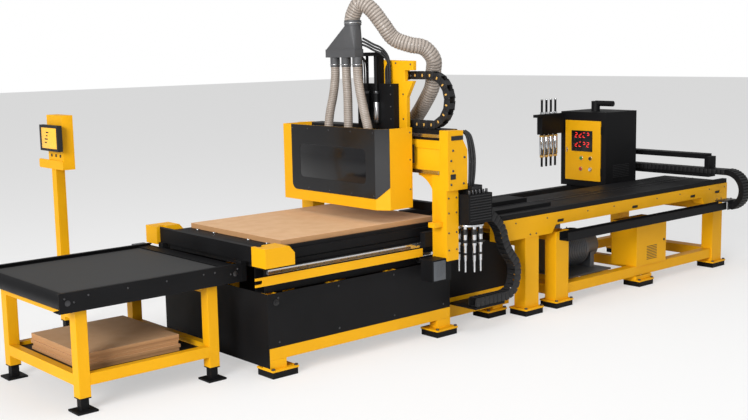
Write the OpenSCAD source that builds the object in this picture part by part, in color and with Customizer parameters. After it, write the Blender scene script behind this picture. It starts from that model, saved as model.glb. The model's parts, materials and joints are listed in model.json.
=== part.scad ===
// Nesting CNC router line: an unloading belt table, the router bed with its
// moving gantry and three-spindle head, and a loading table with a control
// cabinet. Layout frame while modelling: +X along the line from unloading to
// loading, +Y from the operator's side to the back, +Z up, floor at Z = 0.
// The finished part is moved so that its origin is the centre of its base box.

/* [Router bed] */
// Length of the bed and its cabinet base
base_len = 1860; // [1600:10:2600]
// Width of the bed and its cabinet base
base_w = 1430; // [1400:10:2000]
// Height of the underside of the plinth above the floor
plinth_lift = 133; // [110:1:200]
// Size of the square tube of the base frame
frame_tube = 90; // [70:1:95]
// Height of the black side panels
panel_h = 407; // [350:1:500]
// Height of the two long side beams under the table
side_beam_h = 177; // [170:1:240]
// Thickness of the vacuum table
table_h = 142; // [120:1:200]
// Length of the spoilboard
board_len = 1575; // [1400:5:1760]
// Width of the spoilboard
board_w = 1220; // [1000:10:1250]
// Thickness of the spoilboard
board_t = 40; // [18:1:60]
// Length of the low tail section beyond the bed
tail_len = 870; // [600:10:1200]

/* [Gantry] */
// Place of the uprights' front face along the line
gantry_x = 1606; // [1500:1:1640]
// Height of the gantry beam's underside
beam_z = 1363; // [1320:1:1480]
// Height of the gantry beam
beam_h = 275; // [240:1:340]
// Depth of the gantry beam along the line
beam_d = 200; // [160:1:240]
// Width of an upright along the line
upright_w = 134; // [110:1:160]

/* [Head] */
// Place of the middle spindle across the bed
head_y = 590; // [560:1:620]
// Distance between neighbouring spindles
spindle_pitch = 255; // [220:1:265]
// Radius of a spindle housing
spindle_r = 62; // [50:1:64]
// Radius of a tool bore in a spindle
tool_r = 6; // [3:0.5:10]
// Depth of the hood along the line
hood_d = 315; // [300:1:330]
// Height of the hood
hood_h = 650; // [600:1:700]
// Width of the hood across the bed
hood_w = 1300; // [1180:5:1350]
// Outside radius of the large dust hose
hose_r = 65; // [50:1:70]

/* [Unloading table] */
// Length of the unloading table
unload_len = 1420; // [1300:10:1800]
// Width of the unloading table over its side rails
unload_w = 1288; // [1200:2:1400]
// Height of the top of the side rails
unload_top = 843; // [800:1:860]
// Size of the square legs
unload_leg = 85; // [60:1:100]
// Number of boards stacked on the shelf
stack_count = 5; // [2:1:6]

/* [Loading table] */
// Length of the loading table
load_len = 3588; // [3400:1:3900]
// Width of the loading table's deck
load_w = 777; // [760:1:900]
// Height of the yellow edge beam's top
load_top = 886; // [860:1:920]
// Width of a leg along the line
load_leg_x = 180; // [140:1:190]
// Width of a leg across the line
load_leg_y = 130; // [110:1:150]

/* [Control cabinet] */
// Width of the cabinet along the line
cab_x = 535; // [460:5:560]
// Width of the cabinet across the line
cab_y = 598; // [560:1:640]
// Height of the cabinet
cab_z = 797; // [760:1:900]
// Travel of a push button
button_travel = 4; // [2:0.5:6]

/* [Hidden] */
$fn = 48;
run_gap = 0.3;
fit_gap = 0.05;
reveal = 0.6;
sheet = 5;
tube_wall = 5;

// levels of the bed
foot_pad_h = 50;
foot_plate_t = 15;
plate_top = foot_pad_h + foot_plate_t;
frame_top = plinth_lift + frame_tube;
panel_top = frame_top + panel_h;
side_beam_top = panel_top + side_beam_h;
table_top = side_beam_top + table_h;
board_top = table_top + board_t;

// base frame
panel_t = 4;
post = 80;
base_bays = 3;
tail_x1 = base_len + tail_len;
tail_in = 120;
tail_lift = 88;
tail_tube_h = 170;
tail_top = 700;

// side beams, guide rails and racks
side_beam_y = 40;
side_beam_w = 120;
rail_t = 22;
rail_y = side_beam_y - rail_t;
rail_h = 36;
rail_z = side_beam_top - 39;
rack_h = 25;
rack_z = panel_top + 60;
rail_end = 20;

// vacuum table and spoilboard
table_in = 60;
table_lip = 20;
table_step = 29;
slot_d = 12;
slot_h = 10;
slot_z = side_beam_top + 38;
board_x0 = 205;
board_y0 = (base_w - board_w) / 2;

// end barrier, bumpers and side guards
barrier_x0 = -60;
barrier_x1 = -20;
barrier_y0 = 7;
barrier_y1 = base_w - barrier_y0;
barrier_z0 = 860;
barrier_z1 = 975;
barrier_foot_w = 60;
bumper_x0 = -90;
bumper_x1 = 170;
bumper_y0 = -110;
bumper_z0 = 844;
bumper_top = 985;
bumper_cut_x = 48;
bumper_cut_z = 53;
guard_x0 = -144;
far_guard_x0 = 0;
guard_x1 = 1497;
guard_y0 = -57;
guard_t = 10;
guard_z0 = panel_top + 80;
guard_h = 65;
guard_slot_h = 29;

// gantry frame
upright_y0 = -223;
upright_y1 = -60;
upright_z0 = 674;
end_y0 = -244;
end_y1 = -150;
beam_x0 = gantry_x + 5;
beam_x1 = beam_x0 + beam_d;
beam_top = beam_z + beam_h;
beam_y1 = base_w - end_y1;
beam_wall = 8;
beam_lip_h = 70;
beam_lip_d = 8;
cover_h = 82;
cover_top = beam_top + cover_h;
end_z0 = 1241;
gusset_x0 = gantry_x + 54;
gusset_x1 = gantry_x + 94;
gusset_y1 = 150;
gusset_z0 = 1150;
gusset_r = 225;
y_rail_t = 20;
y_rail_h = 28;
y_rail_low = beam_z + 5;
y_rail_high = beam_top + 22;

// drives and saddles of the gantry
saddle_x0 = gantry_x - 46;
saddle_len = 140;
saddle_y0 = -5;
saddle_lap = 12;
saddle_y1 = side_beam_y - 4;
arm_x0 = gantry_x - 86;
arm_x1 = gantry_x + 220;
arm_z0 = guard_z0 + guard_h + 5;
arm_z1 = 900;
gear_x0 = gantry_x - 156;
gear_x1 = gantry_x + 54;
gear_y0 = upright_y0 + 8;
gear_y1 = upright_y1 - 20;
gear_z0 = 520;
pinion_r = 23.6;
pinion_w = 24;
pinion_x = gantry_x - 76;
pinion_z = rack_z - pinion_r - 0.8;
pinion_shaft_r = 10;
pinion_teeth = 16;

// tool magazine
mag_x = gantry_x + 284;
mag_y = -200;
mag_r = 122;
mag_disc_z = 935;
mag_disc_t = 15;
mag_house_z0 = 960;
mag_house_z1 = 1200;
mag_shaft_r = 15;
mag_socket = 80;
mag_count = 8;
mag_ring_r = 95;
holder_r = 17;
holder_z = 780;
collet_r = 12;
collet_z = 650;
bit_r = 8;
bit_z = 560;

// pusher bar behind the beam
pusher_x0 = gantry_x + 229;
pusher_w = 60;
pusher_y0 = -30;
pusher_y1 = 1460;
pusher_z0 = 1015;
pusher_h = 70;
pusher_rods = [100, 1330];
rod_r = 12;
rod_top = 1540;
rod_guide_z = 1380;
rod_guide_h = 100;

// dust outlet on the beam's back
port_x = gantry_x + 284;
port_y = 440;
port_z0 = 1500;
port_z1 = 1700;
port_r = hose_r + 3;
port_pipe_z = 1585;
port_collar_x1 = port_x + 70;
port_pipe_x1 = port_collar_x1 + 50;

// hood
hood_x1 = gantry_x - 71;
hood_x0 = hood_x1 - hood_d;
hood_z0 = 1090;
hood_z1 = hood_z0 + hood_h;
hood_y0 = 90;
hood_y1 = hood_y0 + hood_w;
hood_cut_x = 70;
hood_cut_y = 95;
hood_strip_w = 120;
hood_lap = 160;
hood_panel_t = 5;
hood_panel_z0 = 1180;
hood_panel_z1 = hood_z1;
hood_panel_side_z0 = 1279;
hood_panel_r = 60;
window_y0 = 300;
window_y1 = 1155;
window_z0 = 1294;
window_z1 = 1575;
window_r = 40;

// head carriage
car_x0 = hood_x1;
car_x1 = car_x0 + 25;
car_y0 = 265;
car_y1 = 915;
car_z0 = 1330;
car_z1 = 1740;
wing_z0 = 1450;
wing_z1 = 1600;
z_box_x0 = gantry_x - 106;
z_box_y1 = 710;
z_box_top = 2085;
column_x1 = gantry_x - 6;
z_rail_w = 50;
z_rail_off = 240;
z_plate_x0 = gantry_x - 141;
z_plate_x1 = z_plate_x0 + 25;
z_plate_z0 = 1250;
z_plate_z1 = 1690;
balance_x = gantry_x - 125;
balance_y = [450, 560];
balance_r = 22;

// spindles and their suction pipes
spindle_x = gantry_x - 216;
spindle_z0 = 1300;
spindle_z1 = 1650;
shaft_r = 25;
shaft_z1 = 1600;
collet_nut_r = 30;
collet_nut_z = 1240;
nose_r = 22;
nose_z = 1110;
tool_depth = 40;
pipe_x = spindle_x - 100;
pipe_r = 40;
pipe_z0 = 1250;
pipe_z1 = 1640;

// dust manifold on top of the head
man_x0 = spindle_x - 100;
man_x1 = man_x0 + 95;
man_y0 = 494;
man_y1 = 866;
man_z0 = 2303;
man_z1 = 2369;
collar_x = man_x0 + 40;
collar_y = 555;
collar_r = hose_r + 5;
collar_z0 = 2560;
collar_z1 = 2600;
spigot_x = man_x0 + 45;
spigot_y = [516, 655, 797];
spigot_r = 40;
spigot_z0 = 2226;
small_hose_r = 38;

// unloading table
un_x1 = -80;
un_x0 = un_x1 - unload_len;
un_y0 = 213;
un_y1 = un_y0 + unload_w;
un_web = 8;
un_top_flange = 27;
un_low_flange = 87;
un_rail_h = 136;
un_rail_z0 = unload_top - un_rail_h;
un_leg_in = 50;
un_leg_x0 = un_x0 + 130;
un_leg_x1 = un_x1 - 180 - unload_leg;
un_foot_h = 100;
un_ring_z = 180;
un_ring_h = 80;
un_ring_w = 60;
un_shelf_z = 225;
un_shelf_t = 8;
roller_r = 38;
roller_shaft_r = 12;
belt_t = 4;
belt_z = unload_top - 69;
belt_in = 32;
tail_roller_x = un_x0 + 60;
drive_roller_x = un_x1 - 50;
apron_r = 60;
apron_t = 6;
stack_x0 = -1250;
stack_x = 750;
stack_y0 = 420;
stack_y = 820;
stack_t = 24;
stack_gap = 0.4;
square_pad = 150;
square_pad_t = 15;
square_stem = 60;
square_seat_t = 8;

// operator pedestal
ped_x = -400;
ped_y = 2420;
ped_post = 80;
ped_pad = 200;
ped_box_x0 = -450;
ped_box_x1 = -350;
ped_box_y0 = 2205;
ped_box_y1 = 2480;
ped_box_z0 = 1415;
ped_box_z1 = 1868;
plate_y1 = 2650;
plate_h = 75;
screen_y0 = 2150;
screen_y1 = 2480;
screen_z0 = 1575;
screen_z1 = 1790;
screen_t = 42;
screen_out = 16;
screen_back = 12;
screen_axis_x = ped_box_x0 - screen_out;
screen_axis_z = (screen_z0 + screen_z1) / 2;
ear_ys = [2250, 2380];
ear_t = 14;
ear_r = 10;
ear_pin_r = 5;

// loading table
ld_x0 = tail_x1 - 333;
ld_x1 = ld_x0 + load_len;
ld_y0 = -77;
ld_y1 = ld_y0 + load_w;
ld_beam_w = 120;
ld_deep_z = 702;
ld_high_z = 773;
ld_deep_left = 693;
ld_deep_right = 435;
ld_step = 50;
ld_slots = [813, 1943, 2943, 3403];
ld_slot_z = 805;
ld_slot_r = 14;
ld_slot_len = 70;
far_beam_x0 = ld_x0 + 53;
far_beam_w = 100;
leg_near_y0 = -65;
leg_xs = [ld_x0 + 343, ld_x0 + 763, ld_x0 + 2083, ld_x1 - 245];
leg_near_xs = [leg_xs[0], leg_xs[1], leg_xs[3]];
leg_rear_y0 = 1120;
short_leg_x0 = ld_x0 + 1993;
short_leg_x1 = ld_x0 + 2253;
low_z = 105;
low_h = 95;
low_w = 100;
low_y = leg_near_y0 + 15;
cross_w = 140;
cross_h = 90;
cross_z = ld_deep_z - cross_h;
bearer_xs = [ld_x0 + 1163, ld_x0 + 1623, ld_x0 + 2303];
bearer_w = 80;
deck_t = 19;
deck_top = load_top + deck_t;
deck_rail_w = 50;
deck_rail_h = 26;
strip_x0 = ld_x0 - 67;
track_ys = [760, 1180];
track_w = 80;
track_top = 850;
box_x0 = short_leg_x0;
box_x1 = box_x0 + 500;
box_y1 = 235;
box_top = 640;
pump_x0 = ld_x0 + 1103;
pump_x1 = pump_x0 + 650;
pump_y = 350;
pump_z = 420;
pump_r = 180;

// trays for the cable chains
x_tray_x0 = base_len + 110;
x_tray_x1 = x_tray_x0 + 360;
x_tray_y0 = -190;
x_tray_z = 205;
x_tray_t = 17;
trough_x0 = ld_x0 + 703;
trough_x1 = trough_x0 + 2600;
trough_y0 = -250;
trough_w = 100;
trough_z0 = 645;
trough_h = 77;

// feet and anchor bolts
plate_over = 30;
plate_x = load_leg_x + 2 * plate_over;
plate_y = 200;
bolt_in = 15;
bolt_r = 8.5;
bolt_hole_r = 9;
bolt_head_r = 14;
bolt_head_h = 12;

// control cabinet
cab_x0 = ld_x0 + 2536;
cab_x1 = cab_x0 + cab_x;
cab_y0 = 722;
cab_y1 = cab_y0 + cab_y;
cab_z0 = 860;
cab_z1 = cab_z0 + cab_z;
cab_shoe = 60;
door_t = 12;
door_x = cab_x0 - run_gap - door_t;
door_y0 = cab_y0 + 63;
door_y1 = cab_y1 - 70;
door_z0 = cab_z0 + 65;
door_z1 = cab_z1 - 92;
door_lap = 14;
pin_r = 6;
pin_x = door_x + pin_r;
pin_y = door_y0 - pin_r - run_gap;
barrel_h = 80;
button_r = 15;
stem_r = 8;
cap_h = 12;
stem_len = 24;
button_ys = [1035, 915, 1040, 915];
button_zs = [1165, 1165, 1048, 1048];
snorkel_x = cab_x0 + 217;
snorkel_y = 1025;
snorkel_r = 46;

// arms that carry the cabinet's cable chain loop
link_y0 = 1060;
link_y1 = 1150;
link_z0 = 960;
link_z1 = 1200;
arms_x0 = ld_x0 + 3343;
arms_x1 = arms_x0 + 140;
arms_y0 = 52;
run_z0 = 995;
run_z1 = 1051;
loop_y = -200;
loop_z = 840;
loop_r = 211;
loop_t = 56;
loop_end = 250;

// drill block on the cabinet's side
bank_x0 = cab_x0 - 389;
bank_x1 = cab_x0 - 93;
bank_y0 = 1262;
bank_y1 = 1332;
bank_z0 = 1426;
bank_z1 = 1640;
bank_count = 4;
bank_bit_r = 12;
bank_bit_z = 1800;
quill_r = 20;
quill_z = 1080;

// cable chains: section sizes and centre lines
chain_w = 90;
chain_t = 80;
x_chain_y0 = -185;
x_chain_upper = [[484.3, 1000], [519, 1000], [584, 972], [669, 900], [724, 815], [749, 730]];
x_chain_lower = [[440, 635], [510, 550], [535, 490], [535, 420], [515, 345], [470, 290], [390, 263], [290, 262],
    [15, 262]];
x_chain_path = concat([for (p = x_chain_upper) [gantry_x + p[0], p[1]]],
    [for (p = x_chain_lower) [x_tray_x0 + p[0], p[1]]]);
y_chain_t = 68;
y_chain_x0 = gantry_x + 44;
y_chain_w = 70;
y_chain_z0 = cover_top + run_gap;
y_chain_top = 2150;
y_chain_low_end = 360;
y_chain_start = 298;
y_chain_bend = 10;
column_slot_y = 195;
column_slot_z0 = y_chain_top - y_chain_t / 2 - 8;
column_slot_z1 = y_chain_top + y_chain_t / 2 + 8;

// hoses: one list of centre points each
main_route = [[1330, 555, 2600.3], [1330, 552, 2636], [1340, 471, 2734], [1380, 382, 2681], [1440, 318, 2566],
    [1520, 276, 2450], [1600, 175, 2397], [1700, 113, 2370], [1780, 86, 2279], [1820, 128, 2175],
    [1850, 179, 2044], [1880, 326, 1881], [1890, 416, 1784], [1890, 440, 1700.3]];
hose_routes = [
    [[1335, 516, 2225.7], [1334, 510, 2140], [1325, 470, 2000], [1305, 405, 1860], [1292, 352, 1745], [1290, 335, 1640.3]],
    [[1335, 655, 2225.7], [1334, 652, 2130], [1325, 632, 1990], [1305, 608, 1850], [1292, 593, 1740], [1290, 590, 1640.3]],
    [[1335, 797, 2225.7], [1334, 800, 2130], [1325, 820, 1990], [1305, 842, 1850], [1292, 847, 1740], [1290, 845, 1640.3]]
];

// the part's own origin is the centre of its base box
centre_x = (un_x0 + ld_x1) / 2;
centre_y = (loop_y - loop_r + plate_y1) / 2;

// ---- helpers ----

// everything is built in the layout frame and moved to the part's own origin
module placed() translate([-centre_x, -centre_y, 0]) children();

// a block between two opposite corners
module block(lo, hi) translate(lo) cube([hi[0] - lo[0], hi[1] - lo[1], hi[2] - lo[2]]);

// a rectangular tube between two corners, open along axis 0, 1 or 2
module tube(lo, hi, axis, wall = tube_wall) {
    in_lo = [for (i = [0:2]) i == axis ? lo[i] - 1 : lo[i] + wall];
    in_hi = [for (i = [0:2]) i == axis ? hi[i] + 1 : hi[i] - wall];
    difference() {
        block(lo, hi);
        block(in_lo, in_hi);
    }
}

// mirrored over the plane y = middle
module flip_y(middle) translate([0, 2 * middle, 0]) mirror([0, 1, 0]) children();

// the same shape on the operator's side and, mirrored, on the far side of the bed
module both_sides() {
    children();
    flip_y(base_w / 2) children();
}

// the same shape at both long sides of the unloading table
module both_rails() {
    children();
    flip_y(un_y0 + unload_w / 2) children();
}

// an outline in the X-Z plane, pushed from y0 to y1
module slab_xz(y0, y1) translate([0, y1, 0]) rotate([90, 0, 0]) linear_extrude(y1 - y0) children();

// an outline in the Y-Z plane, pushed from x0 to x1
module slab_yz(x0, x1) translate([x0, 0, 0]) rotate([90, 0, 90]) linear_extrude(x1 - x0) children();

// round bars along each axis
module bar_x(y, z, r, x0, x1) translate([x0, y, z]) rotate([0, 90, 0]) cylinder(r = r, h = x1 - x0);
module bar_y(x, z, r, y0, y1) translate([x, y1, z]) rotate([90, 0, 0]) cylinder(r = r, h = y1 - y0);
module bar_z(x, y, r, z0, z1) translate([x, y, z0]) cylinder(r = r, h = z1 - z0);

// a rectangle between two corners with round corners
module round_rect(lo, hi, r) {
    translate([lo[0] + r, lo[1]]) square([hi[0] - lo[0] - 2 * r, hi[1] - lo[1]]);
    translate([lo[0], lo[1] + r]) square([hi[0] - lo[0], hi[1] - lo[1] - 2 * r]);
    for (u = [lo[0] + r, hi[0] - r]) for (v = [lo[1] + r, hi[1] - r]) translate([u, v]) circle(r = r);
}

// points of a smooth curve through a route
function curve_point(p, i, t) =
    let (n = len(p) - 1, a = p[max(i - 1, 0)], b = p[i], c = p[min(i + 1, n)], d = p[min(i + 2, n)])
    0.5 * (2 * b + (c - a) * t + (2 * a - 5 * b + 4 * c - d) * t * t + (3 * b - a - 3 * c + d) * t * t * t);
function smooth_route(p, steps) = concat(
    [for (i = [0:len(p) - 2]) for (s = [0:steps - 1]) curve_point(p, i, s / steps)], [p[len(p) - 1]]);
function unit(v) = v / norm(v);
function heading(p, i) = unit(p[min(i + 1, len(p) - 1)] - p[max(i - 1, 0)]);
function side_of(t) = unit(cross(t, [1, 0, 0]));

// a round tube swept along a route, square to a given way at each end
module swept_tube(route, r, sides, steps, first_way, last_way) {
    p = smooth_route(route, steps);
    n = len(p);
    rings = [for (i = [0:n - 1]) let (
        t = i == 0 ? first_way : (i == n - 1 ? last_way : heading(p, i)), u = side_of(t), v = cross(t, u))
        for (k = [0:sides - 1]) p[i] + r * (cos(360 * k / sides) * u + sin(360 * k / sides) * v)];
    walls = [for (i = [0:n - 2]) for (k = [0:sides - 1]) let (k2 = (k + 1) % sides)
        [i * sides + k, (i + 1) * sides + k, (i + 1) * sides + k2, i * sides + k2]];
    first = [for (k = [0:sides - 1]) k];
    last = [for (k = [sides - 1:-1:0]) (n - 1) * sides + k];
    polyhedron(rings, concat(walls, [first, last]), convexity = 8);
}

// a flat band of even thickness that follows points in a plane
function band_normal(p, i) =
    let (d = unit(p[min(i + 1, len(p) - 1)] - p[max(i - 1, 0)])) [-d[1], d[0]];
module band(p, t) polygon(concat(
    [for (i = [0:len(p) - 1]) p[i] + band_normal(p, i) * t / 2],
    [for (i = [len(p) - 1:-1:0]) p[i] - band_normal(p, i) * t / 2]));

// ---- base ----

function bay_x(i) = i * (base_len - frame_tube) / base_bays;

module base_long_rails() color("gold") both_sides() {
    tube([0, 0, plinth_lift], [base_len, frame_tube, frame_top], 0);
    tube([base_len, tail_in, tail_lift], [tail_x1, tail_in + frame_tube, tail_lift + tail_tube_h], 0);
}

module base_inner_frame() color("gold") {
    for (i = [0:base_bays])
        tube([bay_x(i), frame_tube, plinth_lift], [bay_x(i) + frame_tube, base_w - frame_tube, frame_top], 1);
    tube([tail_x1 - frame_tube, tail_in + frame_tube, plinth_lift],
        [tail_x1, base_w - tail_in - frame_tube, frame_top], 1);
    both_sides() {
        for (i = [0:base_bays])
            tube([bay_x(i), panel_t, frame_top], [bay_x(i) + post, panel_t + post, panel_top], 2);
        tube([tail_x1 - post, tail_in + panel_t, tail_lift + tail_tube_h],
            [tail_x1, tail_in + panel_t + post, tail_top - panel_t], 2);
    }
}

module base_panels() color("#161616") {
    both_sides() {
        block([reveal, 0, frame_top], [base_len, panel_t, panel_top]);
        block([base_len + reveal, tail_in, tail_lift + tail_tube_h],
            [tail_x1, tail_in + panel_t, tail_top - panel_t - reveal]);
    }
    block([-panel_t, 0, plate_top + 10], [0, base_w, panel_top]);
    block([base_len - panel_t, panel_t + reveal, frame_top],
        [base_len, base_w - panel_t - reveal, panel_top]);
    block([base_len + reveal, tail_in, tail_top - panel_t], [tail_x1, base_w - tail_in, tail_top]);
}

// ---- feet ----

side_feet = [[0, -30], [base_len - 210, -60], [tail_x1 - plate_x - 60, tail_in - 30]];
leg_feet = concat([for (x = leg_near_xs) [x - plate_over, leg_near_y0 - 35]],
    [[short_leg_x0 + 10, leg_near_y0 - 35]], [for (x = leg_xs) [x - plate_over, leg_rear_y0 - 35]]);

module at_feet() {
    both_sides() for (p = side_feet) translate([p[0], p[1], 0]) children();
    for (p = leg_feet) translate([p[0], p[1], 0]) children();
}

module at_bolts() for (x = [bolt_in, plate_x - bolt_in]) translate([x, bolt_in, 0]) children();

module foot_plates() color("gold") {
    at_feet() difference() {
        block([0, 0, foot_pad_h], [plate_x, plate_y, plate_top]);
        at_bolts() bar_z(0, 0, bolt_hole_r, foot_pad_h - 1, plate_top + 1);
    }
    both_sides() {
        block([0, 0, plate_top], [150, frame_tube, plinth_lift]);
        block([base_len - 150, 0, plate_top], [base_len, frame_tube, plinth_lift]);
        block([tail_x1 - 210, tail_in, plate_top], [tail_x1 - 80, tail_in + frame_tube, tail_lift]);
    }
}

module square_foot(x, y, size, seat) translate([x, y, 0]) {
    block([-size / 2, -size / 2, 0], [size / 2, size / 2, square_pad_t]);
    block([-square_stem / 2, -square_stem / 2, square_pad_t], [square_stem / 2, square_stem / 2, un_foot_h]);
    block([-seat / 2, -seat / 2, un_foot_h - square_seat_t], [seat / 2, seat / 2, un_foot_h]);
}

module floor_feet() color("#141414") {
    at_feet() block([5, 5, 0], [plate_x - 5, plate_y - 5, foot_pad_h]);
    both_rails() for (x = [un_leg_x0, un_leg_x1])
        square_foot(x + unload_leg / 2, un_y0 + un_leg_in + unload_leg / 2, square_pad, unload_leg);
    square_foot(ped_x, ped_y, ped_pad, ped_post);
}

module anchor_bolts() color("#1c1c1c") at_feet() at_bolts() {
    bar_z(0, 0, bolt_r, foot_pad_h, plate_top + 1);
    bar_z(0, 0, bolt_head_r, plate_top, plate_top + bolt_head_h);
}

// ---- bed ----

module bed_beams() color("#202020") both_sides()
    tube([0, side_beam_y, panel_top], [base_len, side_beam_y + side_beam_w, side_beam_top], 0);

module x_guideways() color("silver") both_sides() {
    block([rail_end, rail_y, rail_z], [base_len - rail_end, side_beam_y, rail_z + rail_h]);
    block([rail_end, rail_y, rack_z], [base_len - rail_end, side_beam_y, rack_z + rack_h]);
}

module table_half() polygon([
    [base_w / 2 + 1, side_beam_top], [table_in, side_beam_top], [table_in, slot_z], [table_in + slot_d, slot_z],
    [table_in + slot_d, slot_z + slot_h], [table_in, slot_z + slot_h],
    [table_in, table_top - table_step], [table_in + table_lip, table_top - table_step],
    [table_in + table_lip, table_top], [base_w / 2 + 1, table_top]]);

module bed_table() color("#242424") slab_yz(0, base_len) {
    table_half();
    translate([base_w, 0]) mirror([1, 0]) table_half();
}

module spoilboard() color("#c99a6b")
    block([board_x0, board_y0, table_top], [board_x0 + board_len, board_y0 + board_w, board_top]);

module end_barrier() color("#121212") {
    block([barrier_x0, barrier_y0, barrier_z0], [barrier_x1, barrier_y1, barrier_z1]);
    block([barrier_x1, table_in, barrier_z0 + 20], [0, base_w - table_in, barrier_z0 + 70]);
    for (y = [un_y0, base_w - table_in - barrier_foot_w])
        block([un_x1, y, un_rail_z0], [un_x1 + 50, y + barrier_foot_w, barrier_z0]);
}

module guard_strip(x0) slab_xz(guard_y0, guard_y0 + guard_t) difference() {
    translate([x0, guard_z0]) square([guard_x1 - x0, guard_h]);
    translate([x0 - 1, guard_z0 + (guard_h - guard_slot_h) / 2]) square([50, guard_slot_h]);
    translate([x0 + 49, guard_z0 + guard_h / 2]) circle(r = guard_slot_h / 2);
}

module bumper_outline() polygon([
    [bumper_x0, bumper_z0], [bumper_x1, bumper_z0], [bumper_x1, bumper_top - bumper_cut_z],
    [bumper_x1 - bumper_cut_x, bumper_top], [bumper_x0, bumper_top]]);

module side_guards() color("gold") {
    guard_strip(guard_x0);
    flip_y(base_w / 2) guard_strip(far_guard_x0);
    both_sides() {
        for (x = [60, 700, 1400])
            block([x, guard_y0 + guard_t, guard_z0 + 12], [x + 60, side_beam_y, guard_z0 + 22]);
        difference() {
            slab_xz(bumper_y0, table_in) bumper_outline();
            block([barrier_x0, barrier_y0, bumper_z0 - 1], [0, table_in + 1, bumper_top + 1]);
        }
    }
}

// ---- trays for the cable chains ----

module chain_trays() color("#181818") {
    block([x_tray_x0, x_tray_y0, x_tray_z], [x_tray_x1, tail_in, x_tray_z + x_tray_t]);
    difference() {
        block([trough_x0, trough_y0, trough_z0], [trough_x1, trough_y0 + trough_w, trough_z0 + trough_h]);
        block([trough_x0 - 1, trough_y0 + sheet, trough_z0 + sheet],
            [trough_x1 + 1, trough_y0 + trough_w - sheet, trough_z0 + trough_h + 1]);
    }
    for (x = [leg_xs[1] + 50, trough_x1 - 40]) {
        block([x, trough_y0 + trough_w, trough_z0], [x + 80, leg_near_y0, trough_z0 + 10]);
        if (x > trough_x1 - 80) block([trough_x1, trough_y0 + trough_w - 20, trough_z0],
            [x + 80, trough_y0 + trough_w, trough_z0 + 10]);
    }
}

// ---- legs and rails of the two tables ----

module table_legs() color("gold") {
    both_rails() for (x = [un_leg_x0, un_leg_x1])
        tube([x, un_y0 + un_leg_in, un_foot_h],
            [x + unload_leg, un_y0 + un_leg_in + unload_leg, un_rail_z0], 2);
    for (x = leg_near_xs)
        tube([x, leg_near_y0, plate_top], [x + load_leg_x, leg_near_y0 + load_leg_y, ld_deep_z], 2);
    tube([short_leg_x0, leg_near_y0, plate_top], [short_leg_x1, leg_near_y0 + load_leg_y, low_z], 2);
    for (x = leg_xs)
        tube([x, leg_rear_y0, plate_top], [x + load_leg_x, leg_rear_y0 + load_leg_y, ld_deep_z], 2);
}

module cross_tube(x, y0, z, w, h) tube([x, y0, z], [x + w, leg_rear_y0, z + h], 1);

module table_rails() color("gold") {
    leg_y = un_y0 + un_leg_in;
    both_rails()
        tube([un_leg_x0 + unload_leg, leg_y, un_ring_z], [un_leg_x1, leg_y + un_ring_w, un_ring_z + un_ring_h], 0);
    for (x = [un_leg_x0, un_leg_x1 + unload_leg - un_ring_w]) {
        tube([x, leg_y + unload_leg, un_ring_z],
            [x + un_ring_w, un_y1 - un_leg_in - unload_leg, un_ring_z + un_ring_h], 1);
        tube([x, leg_y + unload_leg, 640], [x + un_ring_w, un_y1 - un_leg_in - unload_leg, 700], 1);
    }
    tube([leg_xs[1] + load_leg_x, low_y, low_z], [leg_xs[3], low_y + low_w, low_z + low_h], 0);
    for (i = [1, 2])
        tube([leg_xs[i] + load_leg_x, leg_rear_y0 + 15, low_z],
            [leg_xs[i + 1], leg_rear_y0 + 15 + low_w, low_z + low_h], 0);
    for (x = leg_near_xs) cross_tube(x + 20, leg_near_y0 + load_leg_y, cross_z, cross_w, cross_h);
    for (i = [1, 3]) cross_tube(leg_xs[i] + 20, leg_near_y0 + load_leg_y, low_z, cross_w, low_h);
}

// ---- unloading table ----

module unload_plates() color("#1a1a1a") {
    block([un_leg_x0 + unload_leg, un_y0 + un_leg_in + un_ring_w, un_shelf_z],
        [un_leg_x1, un_y1 - un_leg_in - un_ring_w, un_shelf_z + un_shelf_t]);
    block([tail_roller_x + roller_r + 22, un_y0 + un_web, belt_z + roller_r - 9],
        [drive_roller_x - roller_r - 32, un_y1 - un_web, belt_z + roller_r - run_gap]);
}

module board_stack() color("#b98350") for (i = [0:stack_count - 1]) {
    z = un_shelf_z + un_shelf_t + i * (stack_t + stack_gap);
    x = stack_x0 + [0, 8, -4, 5, 0, 3][i];
    y = stack_y0 + [0, -6, 4, 7, -3, 2][i];
    block([x, y, z], [x + stack_x, y + stack_y, z + stack_t]);
}

module rail_outline() {
    translate([un_y0, un_rail_z0]) square([un_web, un_rail_h]);
    translate([un_y0, unload_top - 8]) square([un_top_flange, 8]);
    translate([un_y0 + 1, un_rail_z0]) square([un_low_flange - 1, 8]);
}

module unload_side_rails() color("#101010") difference() {
    both_rails() slab_yz(un_x0, un_x1) rail_outline();
    for (x = [tail_roller_x, drive_roller_x])
        bar_y(x, belt_z, roller_shaft_r + fit_gap, un_y0 - 1, un_y1 + 1);
}

module apron_outline() intersection() {
    difference() {
        circle(r = apron_r);
        circle(r = apron_r - apron_t);
    }
    polygon([[0, 0], [-2 * apron_r * cos(80), 2 * apron_r * sin(80)], [-2 * apron_r, 2 * apron_r],
        [-2 * apron_r, -2 * apron_r], [-2 * apron_r * sin(20), -2 * apron_r * cos(20)]]);
}

module unload_end_covers() color("#141414") {
    slab_xz(un_y0 + un_web, un_y1 - un_web) translate([tail_roller_x, belt_z]) apron_outline();
    block([drive_roller_x - 70, un_y0 + un_web, belt_z + 44], [un_x1 - 5, un_y1 - un_web, belt_z + 52]);
}

module belt_outline(r) {
    translate([tail_roller_x, belt_z - r]) square([drive_roller_x - tail_roller_x, 2 * r]);
    translate([tail_roller_x, belt_z]) circle(r = r);
    translate([drive_roller_x, belt_z]) circle(r = r);
}

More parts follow.
